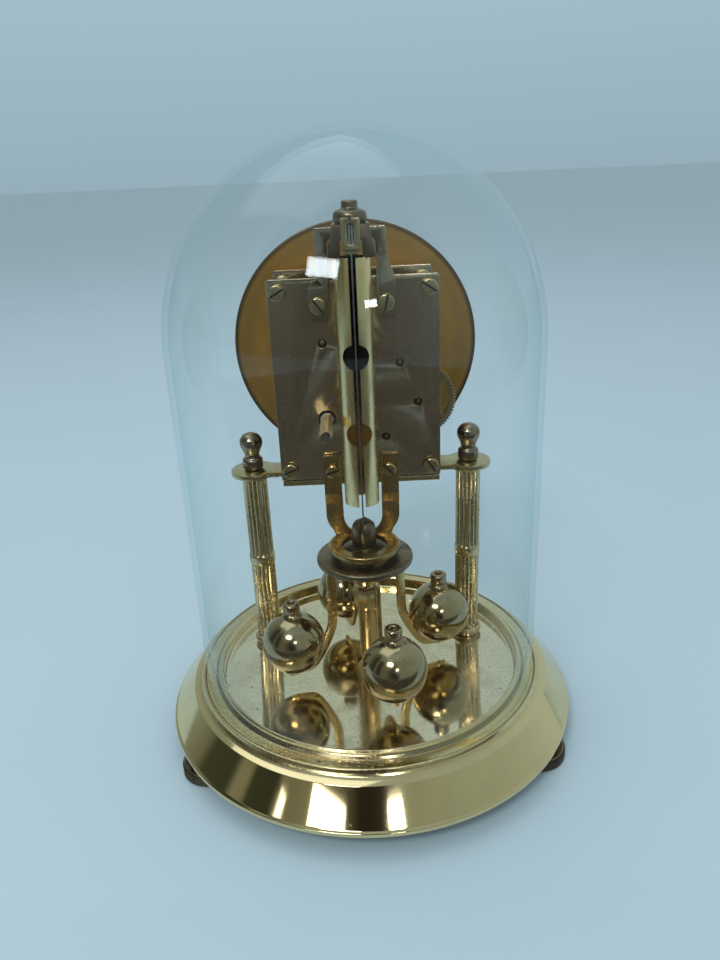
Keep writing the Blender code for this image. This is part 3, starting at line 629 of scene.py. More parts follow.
def makeBase():
    low, high = nodeBox("base_shell")
    rim, under, top = high.x, low.z, baseValues["deck"]
    outer = [(0, top), (54.2, top), (54.9, 20.3), (55.15, 23.9), (55.6, 24.5), (56.1, 24.5),
             (56.5, 23.8), (57.1, 23.9), (57.6, 23.4), (58.2, 22.55), (61.8, 22.55), (62.1, 23.05),
             (62.8, 22.9), (63.2, 21.8), (63.8, 21.0), (64.6, 20.5), (66.4, 19.8),
             (rim - 0.8, 9.7), (rim, 9.2), (rim, 7.9), (rim - 0.35, under)]
    inner = [(rim - 1.1, under), (rim - 1.5, 9.2), (65.9, 18.9), (62.4, 20.5), (61.8, 21.3),
             (58.0, 21.3), (56.0, 22.4), (55.8, 19.0), (0, 19.0)]
    profile = soften(outer + inner, baseValues["edge"], 3)
    piece("baseShell", lathe(profile, baseValues["steps"]), "base", "root", ["base_shell"],
          50.0)
    low, high = nodeBox("base_underplate")
    ringProfile = soften([(high.x, high.z), (high.x, low.z), (20.0, low.z), (20.0, high.z)], 0.2, 2, True)
    cover = lathe(ringProfile, 128, closed=True)
    holes = []
    for i in (1, 2, 3):
        spot = middle(f"levelling_foot_{i}")
        holes.append(moved(lathe([(0, 12), (2.8, 12), (2.8, 6), (0, 6)], 32), (spot.x, spot.y, 0)))
    piece("baseUnderplate", cut(cover, *holes), "darkBrass", "root", ["base_underplate"])


footValues = dict(knurls=72, shank=2.4, turns=22, pitch=0.38, threadStart=4.9, threadDepth=0.22)


def makeFeet():
    for i in (1, 2, 3):
        node = f"levelling_foot_{i}"
        low, high = nodeBox(node)
        spot = (low + high) / 2
        radius = (high.x - low.x) / 2
        shank, pitch = footValues["shank"], footValues["pitch"]
        thread = []
        for k in range(footValues["turns"]):
            crest = footValues["threadStart"] + pitch * k
            thread += [(shank, crest), (shank - footValues["threadDepth"], crest + pitch / 2)]
        profile = [(0, low.z), (radius - 1.3, low.z), (radius - 0.5, 0.35), (radius - 0.5, 4.2),
                   (radius - 1.0, 4.6), (4.0, 4.6), (3.6, 4.8)] + thread + [(1.9, high.z), (0, high.z)]
        wheel = lathe(profile, 72)
        rib = box((-0.42, -0.24, 0.5), (0.16, 0.24, 4.1), 0.1)
        ribs = aroundRing(rib, footValues["knurls"], radius - 0.18, "darkBrass")
        piece(f"levellingFoot{i}", moved(joined(wheel, ribs), (spot.x, spot.y, 0)), "darkBrass",
              f"foot_{i}", [node])


# glass dome

domeValues = dict(wall=1.9, spring=144.2, steps=192, crown=36)


def makeDome():
    low, high = nodeBox("dome")
    radius, top, bottom = high.x, high.z, low.z
    wall, spring, count = domeValues["wall"], domeValues["spring"], domeValues["crown"]
    rise = top - spring
    quarter = [math.radians(90 * i / count) for i in range(count + 1)]
    outside = [(radius * math.sin(a), spring + rise * math.cos(a)) for a in quarter]
    inside = [((radius - wall) * math.sin(a), spring + (rise - wall) * math.cos(a))
              for a in quarter[::-1]]
    straight = [(radius, spring - (spring - bottom - wall) * i / 8) for i in range(1, 9)]
    roll = arc(radius - wall / 2, bottom + wall / 2, wall / 2, 0, -180, 8)
    back = [(radius - wall, y) for _, y in straight[::-1]]
    piece("dome", lathe(outside + straight + roll + back + inside, domeValues["steps"]), "glass",
          "dome", ["dome"], 60.0)


# columns, finials and platform

columnValues = dict(radius=4.6, flutes=16, depth=0.62, stepsPerFlute=10, fade=0.5,
                    zones=((24.7, 55.7), (59.7, 91.4)))


def flute(angle, radius, height):
    # round ribs with sharp grooves between them, fading out at both ends of a fluted zone
    rib = abs(math.cos(columnValues["flutes"] * angle / 2))
    fade, used = columnValues["fade"], 0.0
    for low, high in columnValues["zones"]:
        used = max(used, min(1.0, (height - low) / fade, (high - height) / fade))
    return radius - columnValues["depth"] * used * (1.0 - rib)


def makeColumns():
    low, high = nodeBox("column_left")
    top, bottom = high.z, low.z
    radius = columnValues["radius"]
    lower, upper = columnValues["zones"]
    profile = [(0, top), (radius - 0.15, top), (radius, top - 0.3)]
    profile += [(radius, upper[1] - d) for d in (0.0, 0.25, 0.5)]
    profile += [(radius, upper[0] + d) for d in (0.5, 0.25, 0.0)]
    profile += [(4.85, 59.3), (4.9, 58.9), (4.9, 56.5), (4.85, 56.1)]
    profile += [(radius, lower[1] - d) for d in (0.0, 0.25, 0.5)]
    profile += [(radius, lower[0] + d) for d in (0.5, 0.25, 0.0)]
    profile += arc(radius, 22.3, 1.15, 75, -75, 8) + [(4.9, bottom + 0.1), (4.7, bottom), (0, bottom)]
    steps = columnValues["flutes"] * columnValues["stepsPerFlute"]
    finial = [(0, 108.2), (1.5, 108.1), (2.9, 107.4), (3.9, 106.1), (4.2, 104.7), (4.05, 103.4),
              (3.4, 101.9), (2.85, 100.6), (2.7, 99.6), (2.9, 98.9), (3.5, 98.5), (3.75, 98.0),
              (3.75, 95.2), (3.4, 94.7), (0, 94.7)]
    for side in ("Left", "Right"):
        spot = middle(f"column_{side.lower()}")
        at = (spot.x, spot.y, 0)
        piece(f"column{side}", moved(lathe(profile, steps, flute), at), "columnBrass", "root",
              [f"column_{side.lower()}"], 50.0)
        piece(f"finial{side}", moved(lathe(soften(finial, 0.25, 3), 64), at), "finialBrass", "root",
              [f"finial_{side.lower()}"], 50.0)


platformValues = dict(halfLength=27.6, halfNeck=5.4)


def makePlatform():
    low, high = nodeBox("platform")
    columnAt = middle("column_right")
    half, neck = platformValues["halfLength"], platformValues["halfNeck"]
    ear = high.x - columnAt.x
    spread = math.degrees(math.asin(neck / ear))
    right = arc(columnAt.x, columnAt.y, ear, spread - 180, 180 - spread, 36)
    outline = [(half, low.y), (half, columnAt.y - neck)] + right + [(half, columnAt.y + neck)]
    outline += [(half, high.y)]
    mirrored = [(-x, y) for x, y in outline[::-1]]
    shape = plate(outline + mirrored, high.z - low.z, (), 0.3)
    piece("platform", moved(shape, (0, 0, (low.z + high.z) / 2)), "satinBrass", "root", ["platform"])


# movement plates, pillars, screws

plateValues = dict(corner=1.1, sink=1.55, windingHole=3.0, edge=0.25, screwHead=2.7)


def axisOf(body):
    # a point on the axis of a moving body's joint
    return next(Vector(joint["pos_m"]) / mm for joint in frame["joints"] if joint["child"] == body)


pivoted = ("second", "third", "fourth", "centre", "fifth", "escape", "anchor")
arborAt = {name: axisOf(name) for name in (*pivoted, "barrel", "motion")}


def plateShape(node, holes):
    low, high = nodeBox(node)
    corner = plateValues["corner"]
    outline = [(low.x, low.z), (high.x, low.z)]
    outline += arc(high.x - corner, high.z - corner, corner, 0, 90, 10)
    outline += arc(low.x + corner, high.z - corner, corner, 90, 180, 10)
    shape = plate(outline, high.y - low.y, holes, plateValues["edge"])
    return moved(shape, (0, (low.y + high.y) / 2, 0), upright)


def makePlates():
    spots = [arborAt[name] for name in pivoted]
    sinks = [ring(plateValues["sink"], 32, spot.x, spot.z) for spot in spots]
    winding = arborAt["barrel"]
    backHoles = sinks + [ring(plateValues["windingHole"], 40, winding.x, winding.z)]
    piece("backPlate", plateShape("back_plate", backHoles), "palePlate", "root", ["back_plate"])
    frontHoles = backHoles + [ring(1.1, 24, arborAt["motion"].x, arborAt["motion"].z)]
    piece("frontPlate", plateShape("front_plate", frontHoles), "palePlate", "root", ["front_plate"])
    # the oil sink of each pivot: a small bush with a hollow face
    for name, node, face in (("backBushes", "back_plate", 1), ("frontBushes", "front_plate", -1)):
        low, high = nodeBox(node)
        bush = [(0.85, -0.9), (1.5, -0.9), (1.5, 0.75), (1.35, 0.78), (0.95, 0.1), (0.85, 0.0)]
        shape = moved(lathe(bush, 32, closed=True), turn=toBack if face > 0 else upright)
        y = (low.y + high.y) / 2
        shape = onSpots(shape, [(spot.x, y, spot.z) for spot in spots], "satinBrass")
        piece(name, shape, "darkBrass", "root", ())


screwValues = dict(height=1.25, shank=1.15, length=1.5, mostTurn=3.0)


def slottedHead(radius, height, shank, length):
    # a cheese-head screw along +Y, its head's flat at y = 0
    profile = [(0, height), (radius - 0.45, height), (radius - 0.1, height - 0.25), (radius, 0.25),
               (radius - 0.1, 0), (shank, 0), (shank, -length), (0, -length)]
    body = lathe(soften(profile, 0.15, 2), 40)
    slot = box((-radius - 1, -0.36, height - 0.55), (radius + 1, 0.36, height + 1), 0)
    return moved(cut(body, slot), turn=toBack)


def screwSet(name, spots, radius, look, seed, nodes=()):
    # the heads, and painted shade as a thin dark sheet in the bottoms of their slots, turned alike by the
    # same seed
    most = screwValues["mostTurn"]
    head = slottedHead(radius, screwValues["height"], screwValues["shank"], screwValues["length"])
    shape = onSpots(head, spots, look, seed, most)
    piece(name, shape, look, "root", nodes)
    # painted shade: a thin dark sheet laid in each slot's bottom
    reach = radius - 0.12
    shadow = moved(box((-reach, -0.35, 0.71), (reach, 0.35, 0.75), 0), turn=toBack)
    piece(name + "Slots", onSpots(shadow, spots, "dark", seed, most), "dark", "root", ())


def makeScrews():
    corners = [f"plate_screw_{row}_{side}" for row in ("lower", "upper") for side in ("left", "right")]
    base = nodeBox(corners[0])[1].y - 1.3
    spots = [(middle(node).x, base, middle(node).z) for node in corners]
    screwSet("plateScrews", spots, plateValues["screwHead"], "satinBrass", 4, corners)
    pillars = [node.replace("plate_screw", "pillar") for node in corners]
    low, high = nodeBox(pillars[0])
    length, half = high.y - low.y, 2.6
    post = [(0, length / 2), (half, length / 2), (half, length / 2 - 1.6), (half - 0.5, length / 2 - 2.2),
            (half - 0.5, 2.2 - length / 2), (half, 1.6 - length / 2), (half, -length / 2),
            (0, -length / 2)]
    post = moved(lathe(soften(post, 0.25, 3), 40), turn=upright)
    spots = [(middle(node).x, (low.y + high.y) / 2, middle(node).z) for node in pillars]
    piece("pillars", onSpots(post, spots, "satinBrass"), "satinBrass", "root", pillars)


# train

trainValues = dict(rimWidth=1.7, spokes=5, spokeWidth=1.3, hub=2.6, edge=0.06)


def toothTips(node, at, lowY, highY):
    # the largest radius of a CAD gear between two planes, and the angle where it is reached
    found = (0.0, 0.0)
    for vertex in frame["nodes"][node].data.vertices:
        spot = vertex.co / mm
        if lowY <= spot.y <= highY:
            x, z = spot.x - at.x, spot.z - at.z
            found = max(found, (math.hypot(x, z), math.atan2(z, x)))
    return found


def gear(teeth, tip, phase, thick, spokes, hole=0.0):
    pitch = tip / (1 + 1.5 / teeth)
    module = 2 * pitch / teeth
    root = pitch - 1.15 * module
    outline = []
    for i in range(teeth):
        for offset, radius in ((-0.09, tip - 0.05 * module), (0.09, tip - 0.05 * module),
                               (0.30, pitch - 0.1 * module), (0.42, root), (0.58, root),
                               (0.70, pitch - 0.1 * module)):
            angle = phase + (i + offset) * 2 * math.pi / teeth
            outline.append((radius * math.cos(angle), radius * math.sin(angle)))
    holes = [ring(hole, 32)] if hole else []
    outerRim = root - trainValues["rimWidth"]
    hub = max(trainValues["hub"], hole + 1.0)
    if spokes and outerRim > hub + 2.0:
        for i in range(spokes):
            start, end = 360 * i / spokes, 360 * (i + 1) / spokes
            far = math.degrees(trainValues["spokeWidth"] / 2 / outerRim)
            near = math.degrees(trainValues["spokeWidth"] / 2 / hub)
            window = arc(0, 0, outerRim, start + far, end - far, 14)
            window += arc(0, 0, hub, end - near, start + near, 6)
            holes.append(window)
    return plate(outline, thick, holes, trainValues["edge"])


def arborShape(radius, lowY, highY):
    profile = [(0, highY), (radius * 0.6, highY), (radius * 0.6, highY - 1.6), (radius, highY - 2.0),
               (radius, lowY + 2.0), (radius * 0.6, lowY + 1.6), (radius * 0.6, lowY), (0, lowY)]
    return moved(lathe(soften(profile, 0.1, 2), 24), turn=toBack)


def makeTrain():
    # node, body, then for the wheel and the pinion: teeth, middle y, thickness
    rows = [
        ("second_wheel", "second", (72, -6.9, 1.0), (16, -22.8, 2.0)),
        ("third_wheel", "third", (72, -4.9, 1.0), (16, -6.9, 2.0)),
        ("fourth_wheel", "fourth", (60, -19.6, 1.0), (12, -4.9, 1.6)),
        ("fifth_wheel", "fifth", (54, -12.5, 1.0), (14, -24.9, 1.8)),
        ("centre_wheel", "centre", (56, -24.9, 1.0), (12, -19.6, 2.0)),
        ("minute_wheel", "motion", (36, -29.2, 0.8), (12, -30.6, 1.6)),
    ]
    for node, body, wheel, pinion in rows:
        at = arborAt[body]
        low, high = nodeBox(node)
        shapes = []
        for (teeth, y, thick), spokes in ((wheel, trainValues["spokes"]), (pinion, 0)):
            tip, phase = toothTips(node, at, y - thick / 2 - 0.05, y + thick / 2 + 0.05)
            shape = gear(teeth, tip, phase, thick, spokes)
            shapes.append(moved(shape, (0, y, 0), upright))
        shapes.append(arborShape(0.8, low.y, high.y))
        shape = moved(joined(*shapes), (at.x, 0, at.z))
        name = node.split("_")[0] + "Wheel"
        piece(name, shape, "wheelBrass", body, [node])


escapeValues = dict(teeth=20, depth=1.35, wheelY=-7.5, pinionTeeth=18, pinionY=-12.5, rim=4.2, hub=1.9)


def makeEscapement():
    at = arborAt["escape"]
    low, high = nodeBox("escape_wheel")
    y, teeth = escapeValues["wheelY"], escapeValues["teeth"]
    tip, phase = toothTips("escape_wheel", at, y - 0.45, y + 0.45)
    floor = tip - escapeValues["depth"]
    outline = []
    for i in range(teeth):
        for offset, radius in ((0.0, tip), (0.05, tip - 0.02), (0.24, floor), (0.80, floor)):
            angle = phase + (i + offset) * 2 * math.pi / teeth
            outline.append((radius * math.cos(angle), radius * math.sin(angle)))
    windows = []
    for start in (0, 90, 180, 270):
        windows.append(arc(0, 0, escapeValues["rim"], start + 11, start + 79, 8)
                       + arc(0, 0, escapeValues["hub"], start + 66, start + 24, 4))
    wheel = moved(plate(outline, 0.8, windows, 0.05), (0, y, 0), upright)
    y = escapeValues["pinionY"]
    tip, phase = toothTips("escape_wheel", at, y - 1.0, y + 1.0)
    pinion = moved(gear(escapeValues["pinionTeeth"], tip, phase, 1.8, 0), (0, y, 0), upright)
    shape = joined(wheel, pinion, arborShape(0.8, low.y, high.y))
    piece("escapeWheel", moved(shape, (at.x, 0, at.z)), "wheelBrass", "escape", ["escape_wheel"])


barrelValues = dict(teeth=80, wheelY=-22.8, wheelThick=1.2, bore=2.8, squareTurn=28)


def makeBarrel():
    at = arborAt["barrel"]
    y, bore = barrelValues["wheelY"], barrelValues["bore"]
    tip, phase = toothTips("barrel", at, y - 0.7, y + 0.7)
    wheel = gear(barrelValues["teeth"], tip, phase, barrelValues["wheelThick"], 0, bore)
    wheel = moved(wheel, (0, y, 0), upright)
    drum = soften([(15.0, 8.2), (15.0, 22.5), (14.2, 22.5), (14.2, 8.2)], 0.15, 2, True)
    drum = moved(lathe(drum, 96, closed=True), turn=upright)
    piece("barrel", moved(joined(drum, wheel), (at.x, 0, at.z)), "wheelBrass", "barrel", ["barrel"])
    cover = soften([(13.8, 8.5), (13.8, 9.4), (bore, 9.4), (bore, 8.5), (8.0, 8.5), (8.2, 8.35),
                    (11.8, 8.35), (12.0, 8.5)], 0.1, 2, True)
    piece("barrelCover", moved(lathe(cover, 96, closed=True), (at.x, 0, at.z), upright), "wheelBrass",
          "barrel", ["barrel_cover"])
    high = nodeBox("winding_arbor")[1]
    core = [(0, 0.9), (2.2, 0.9), (2.4, 1.1), (2.4, 28.7), (2.2, 28.9), (0, 28.9)]
    core = moved(lathe(core, 40), turn=upright)
    piece("windingArbor", moved(core, (at.x, 0, at.z)), "steel", "winding", ["winding_arbor"])
    turn = Matrix.Rotation(math.radians(barrelValues["squareTurn"]), 4, "Y")
    spot = (at.x, 0, at.z)
    square = moved(box((-1.6, -1.2, -1.6), (1.6, high.y - 1.0, 1.6), 0.25), spot, turn)
    piece("windingSquare", square, "squareBrass", "winding", ())
    tip = moved(box((-1.5, high.y - 1.0, -1.5), (1.5, high.y, 1.5), 0.5), spot, turn)
    piece("windingTip", tip, "steel", "winding", ())


# dial, hands and motion work

dialValues = dict(bore=4.2, ticks=60, tickIn=4.2, hours=12, batonIn=9.2)  # In: from the rim inwards


def makeDial():
    low, high = nodeBox("dial")
    centre = (low + high) / 2
    radius = high.x
    back, front = -high.y, -low.y
    bore = dialValues["bore"]
    profile = [(bore, back), (radius - 0.9, back), (radius - 0.5, back), (radius, back + 0.25),
               (radius, front - 0.1), (radius - 0.3, front), (radius - 1.6, front), (bore, front)]
    shape = lathe(soften(profile, 0.12, 2, True), 192, closed=True)
    piece("dial", moved(shape, (centre.x, 0, centre.z), upright), "dialBack", "root", ["dial"])
    face = [(5.0, 0.0), (radius - 1.9, 0.0), (radius - 1.9, 0.12), (5.0, 0.12)]
    face = lathe(soften(face, 0.04, 1, True), 160, closed=True)
    piece("dialFace", moved(face, (centre.x, low.y, centre.z), upright), "cream", "root", ())
    track = low.y - 0.16
    tick = box((-1.1, -0.11, -0.03), (1.1, 0.11, 0.03), 0)
    ticks = aroundRing(tick, dialValues["ticks"], radius - dialValues["tickIn"], "black")
    baton = box((-2.5, -0.42, -0.03), (2.0, 0.42, 0.03), 0)
    batons = aroundRing(baton, dialValues["hours"], radius - dialValues["batonIn"], "black")
    whole = moved(joined(ticks, batons), (centre.x, track, centre.z), upright)
    piece("minuteTrack", whole, "black", "root", ())


# each hand: radius of its boss and bore, half width, length, and degrees left of 12 from the front
handValues = dict(hour=(4.2, 3.1, 2.1, 24.0, 50), minute=(3.2, 2.0, 1.6, 35.0, -60))


def hand(name, node, body):
    low, high = nodeBox(node)
    boss, bore, width, length, angle = handValues[body]
    tail = arc(0, 0, boss, 120, 420, 28)
    right = [(0.55, boss + 1.0), (0.5, length * 0.34), (width, length * 0.52),
             (width * 0.8, length * 0.62), (0.35, length * 0.86), (0.15, length)]
    left = [(-x, y) for x, y in right[::-1]]
    shape = plate(tail + right + left, high.y - low.y, [ring(bore, 28)], 0.1)
    shape = moved(moved(shape, turn=Matrix.Rotation(math.radians(angle), 4, "Z")), turn=upright)
    at = arborAt["centre"]
    piece(name, moved(shape, (at.x, (low.y + high.y) / 2, at.z)), "bluedSteel", body, [node])


def makeHands():
    hand("hourHand", "hour_hand", "hour")
    hand("minuteHand", "minute_hand", "minute")
    at = arborAt["centre"]
    low, high = nodeBox("hand_nut")
    nut = soften([(1.2, -low.y), (1.9, -low.y), (2.4, -low.y - 0.5), (2.4, -high.y), (1.2, -high.y)],
                 0.12, 2, True)
    piece("handNut", moved(lathe(nut, 40, closed=True), (at.x, 0, at.z), upright), "satinBrass",
          "minute", ["hand_nut"])
    # teeth, middle y, thickness, then the pipe's bore, radius and ends
    for name, node, body, row in (
        ("cannonPinion", "cannon_pinion", "minute", (12, -29.2, 1.0, 1.2, 1.7, 28.7, 36.9)),
        ("hourWheel", "hour_wheel", "hour", (48, -30.9, 0.8, 2.1, 2.8, 30.6, 35.6)),
    ):
        teeth, y, thick, bore, outer, start, end = row
        tip, phase = toothTips(node, at, y - thick / 2 - 0.05, y + thick / 2 + 0.05)
        wheel = moved(gear(teeth, tip, phase, thick, 4 if teeth > 20 else 0, bore), (0, y, 0), upright)
        pipe = soften([(outer, start), (outer, end), (bore, end), (bore, start)], 0.1, 2, True)
        pipe = moved(lathe(pipe, 40, closed=True), turn=upright)
        piece(name, moved(joined(wheel, pipe), (at.x, 0, at.z)), "wheelBrass", body, [node])


# suspension: bracket, head, cap, spring, tube and guide; the fork keeps its CAD shape

headValues = dict(cheek=6.8, gap=3.5, depth=10.2, pinGap=0.45)
# radius, look and seed, then each screw's x and z
bracketScrews = (2.75, "satinBrass", 7, ((11.6, 155.3), (-10.5, 155.5)))
guideScrews = (2.45, "goldenBrass", 12, ((-9.8, 98.1), (9.8, 98.1)))


def makeBracket():
    back = nodeBox("suspension_bracket")[0].y
    left = [(8.0, 150.6), (9.0, 149.9), (13.4, 149.9), (14.2, 150.7), (14.2, 161.0), (13.4, 162.6),
            (11.5, 163.6), (11.5, 179.0)]
    right = [(-11.0, 179.0), (-11.1, 170.2), (-13.7, 163.0), (-13.7, 151.4), (-12.8, 150.4),
             (-8.9, 150.4), (-8.1, 151.2)]
    inner = [(-7.6, 160.0), (-7.6, 174.6), (-6.6, 175.8), (6.6, 175.8), (7.6, 174.6), (7.6, 160.0)]
    outline = soften(left + right + inner, 0.5, 3, True)
    shape = moved(plate(outline, 1.5, (), 0.32), (0, back + 0.8, 0), upright)
    cheek, gap, depth = headValues["cheek"], headValues["gap"], headValues["depth"]
    cheeks = [(-cheek - 0.5, 170.6), (-gap, 170.6), (-gap, 175.6), (gap, 175.6), (gap, 170.6),
              (cheek + 0.5, 170.6), (cheek + 0.3, 174.6), (cheek - 0.4, 176.0), (5.6, 180.4),
              (-5.6, 180.4), (0.4 - cheek, 176.0), (-cheek - 0.3, 174.6)]
    head = moved(plate(cheeks, depth, (), 0.35), (0, depth / 2 - 0.2, 0), upright)
    hole = moved(lathe([(0, 182), (2.9, 182), (2.9, 170), (0, 170)], 40), (0, axisOf("pendulum").y, 0))
    piece("suspensionHead", cut(head, hole), "darkBrass", "root", ())
    piece("suspensionBracket", shape, "bracketBrass", "root", ["suspension_bracket"])
    y = depth + 0.4
    clamp = soften([(-2.9, 173.0), (-1.4, 172.6), (1.4, 172.6), (2.9, 173.0), (2.9, 182.2),
                    (-2.9, 182.2)], 0.3, 2, True)
    slot = soften([(-1.0, 174.6), (1.0, 174.6), (1.0, 180.6), (-1.0, 180.6)], 0.7, 4, True)
    face = moved(plate(clamp, 1.1, [slot], 0.15), (0, y, 0), upright)
    piece("suspensionClamp", face, "satinBrass", "root", ())
    pins = [moved(lathe([(0, 180.4), (0.34, 180.2), (0.34, 173.6), (0, 173.4)], 20), (x, y, 0))
            for x in (-headValues["pinGap"], headValues["pinGap"])]
    piece("clampPins", joined(*pins), "steel", "root", ())
    for name, row in (("bracketScrews", bracketScrews), ("guideScrews", guideScrews)):
        radius, look, seed, spots = row
        screwSet(name, [(x, back + 1.5, z) for x, z in spots], radius, look, seed)


def makeCap():
    low, high = nodeBox("suspension_cap")
    at, top = middle("suspension_cap"), high.z
    profile = [(0, top), (2.0, top), (2.5, top - 0.3), (2.5, top - 2.2), (3.4, top - 2.6),
               (4.5, top - 3.0), (5.1, top - 3.9), (5.2, top - 5.4), (4.7, top - 6.4),
               (4.5, low.z + 0.4), (4.2, low.z), (0, low.z)]
    body = lathe(soften(profile, 0.3, 3), 64)
    slot = box((-3.2, -0.45, top - 0.7), (3.2, 0.45, top + 1), 0)
    piece("suspensionCap", moved(cut(body, slot), (at.x, at.y, 0)), "darkBrass", "root",
          ["suspension_cap"])


springValues = dict(halfWidth=0.26, rows=80)


def makeSpring():
    # many short rows along the ribbon's length
    low, high = nodeBox("suspension_spring")
    at = (low + high) / 2
    half, rows = springValues["halfWidth"], springValues["rows"]
    low.x, high.x = at.x - half, at.x + half
    shape = bmesh.new()
    loops = []
    for i in range(rows + 1):
        z = low.z + (high.z - low.z) * i / rows
        corners = ((low.x, low.y), (high.x, low.y), (high.x, high.y), (low.x, high.y))
        loops.append([shape.verts.new((x, y, z)) for x, y in corners])
    for lower, upper in zip(loops, loops[1:]):
        for k in range(4):
            shape.faces.new((lower[k], lower[(k + 1) % 4], upper[(k + 1) % 4], upper[k]))
    shape.faces.new(loops[0][::-1])
    shape.faces.new(loops[-1])
    bmesh.ops.recalc_face_normals(shape, faces=shape.faces)
    spring = piece("suspensionSpring", shape, "steel", None, ["suspension_spring"])
    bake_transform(spring)


tubeValues = dict(wall=0.7, slot=1.15, steps=72, window=4.2, windows=(114.8, 140.5), liningGap=40)


def makeTube():
    low, high = nodeBox("guard_tube")
    at = (low + high) / 2
    radius = high.x
    spread = math.degrees(math.asin(tubeValues["slot"] / radius))
    start, end, steps = 90 + spread, 450 - spread, tubeValues["steps"]
    outline = arc(0, 0, radius, start, end, steps)
    outline += arc(0, 0, radius - tubeValues["wall"], end, start, steps)
    shape = moved(plate(outline, high.z - low.z, (), 0.12), (0, at.y, at.z))
    holes = []
    for z in tubeValues["windows"]:
        drill = lathe([(0, 14), (tubeValues["window"], 14), (tubeValues["window"], 0), (0, 0)], 56)
        holes.append(moved(drill, (0, at.y, z), toBack))
    piece("guardTube", cut(shape, *holes), "tubeBrass", "root", ["guard_tube"])
    bore = radius - tubeValues["wall"] - 0.02
    start, end = start + tubeValues["liningGap"], end - tubeValues["liningGap"]
    lining = arc(0, 0, bore, start, end, steps) + arc(0, 0, bore - 0.12, end, start, steps)
    lining = moved(plate(lining, high.z - low.z - 1.2, (), 0.02), (0, at.y, at.z))
    piece("guardTubeBore", lining, "bore", "root", ())


# the legs run down the back plate, bend in between two heights and meet round the pendulum's top
guideValues = dict(bend=(85.3, 88.9), forward=-1.5, thick=1.4, legIn=6.9, legOut=13.1)


def makeGuide():
    y = axisOf("pendulum").y
    profile = [(8.0, 70.8), (12.3, 70.8), (12.6, 71.0), (12.6, 72.7), (12.3, 73.0), (10.9, 73.0),
               (10.7, 72.7), (8.0, 72.7)]
    collar = moved(lathe(soften(profile, 0.12, 2, True), 128, closed=True), (0, y, 0))
    tabs = nodeBox("back_plate")[1].y + 0.95
    low, high = guideValues["bend"]
    forward, thick = guideValues["forward"], guideValues["thick"]
    near, far = guideValues["legIn"], guideValues["legOut"]
    parts = [collar]
    for side in (-1, 1):
        tab = soften([(near, high), (far, high), (far, 103.9), (near, 103.9)], 0.5, 3, True)
        tab = [(side * x, z) for x, z in tab]
        parts.append(moved(plate(tab, thick, (), 0.2), (0, tabs, 0), upright))
        link = box((near, -thick / 2, low - 0.3), (far, thick / 2, high + 0.3), 0.15)
        for vertex in link.verts:
            part = (high - vertex.co.z) / (high - low)
            vertex.co.y += tabs + forward * min(max(part, 0.0), 1.0)
            vertex.co.x *= side
        bmesh.ops.recalc_face_normals(link, faces=link.faces)
        parts.append(link)
    outer = [(far, low)] + arc(4.6, 80.5, 8.5, 0, -40, 8) + [(9.6, 71.6)]
    inner = arc(0.0, 79.8, near, 0, -180, 24)
    outline = outer + [(-x, z) for x, z in outer[::-1]] + [(-near, low)] + inner[::-1] + [(near, low)]
    parts.append(moved(plate(outline, thick, (), 0.2), (0, tabs + forward, 0), upright))
    piece("guideBracket", joined(*parts), "guideBrass", "root", ["guide_bracket"])


# pendulum

ballValues = dict(seam=-2.2, seamDepth=0.14, seamWidth=0.16, knob=3.0, knobTop=16.3, steps=96, rows=61)
armValues = dict(width=1.3, thick=3.3, drop=6.2, dropStart=13.5, dropLength=9.0)


def makeBalls():
    low, high = nodeBox("pendulum_ball_1")
    radius = (high.x - low.x) / 2
    centre = low.z + radius
    knob, top = ballValues["knob"], ballValues["knobTop"]
    cap = [(0, top - 1.2), (1.0, top - 1.2), (1.15, top - 0.3), (1.5, top), (knob - 0.5, top),
           (knob, top - 0.5), (knob, 13.0), (knob - 0.3, 12.8), (knob - 0.3, 12.3), (knob, 12.1),
           (knob + 0.5, 11.2), (knob + 0.6, 10.6), (0, 10.6)]
    cap = soften(cap, 0.2, 2)
    tip = [(0, 0.5 - radius), (1.1, 0.5 - radius), (1.1, -radius - 1.1), (0.75, -radius - 1.5),
           (0.7, -radius - 2.5), (0.4, -radius - 2.8), (0, -radius - 2.8)]
    profile = [(0, radius)]
    rows = ballValues["rows"]
    for i in range(1, rows):
        angle = math.radians(180 * i / rows)
        height = radius * math.cos(angle)
        away = (height - ballValues["seam"]) / ballValues["seamWidth"]
        dip = ballValues["seamDepth"] * math.exp(-away ** 2)
        profile.append(((radius - dip) * math.sin(angle), height))
    profile += [(0, -radius)]
    for i in (1, 2, 3, 4):
        spot = middle(f"pendulum_ball_{i}")
        shape = moved(lathe(profile, ballValues["steps"]), (spot.x, spot.y, centre))
        piece(f"pendulumBall{i}", shape, "ballBrass", "pendulum", [f"pendulum_ball_{i}"],
              50.0)
        shape = moved(joined(lathe(cap, 48), lathe(tip, 32)), (spot.x, spot.y, centre))
        piece(f"ballKnob{i}", shape, "knobBrass", "pendulum", ())


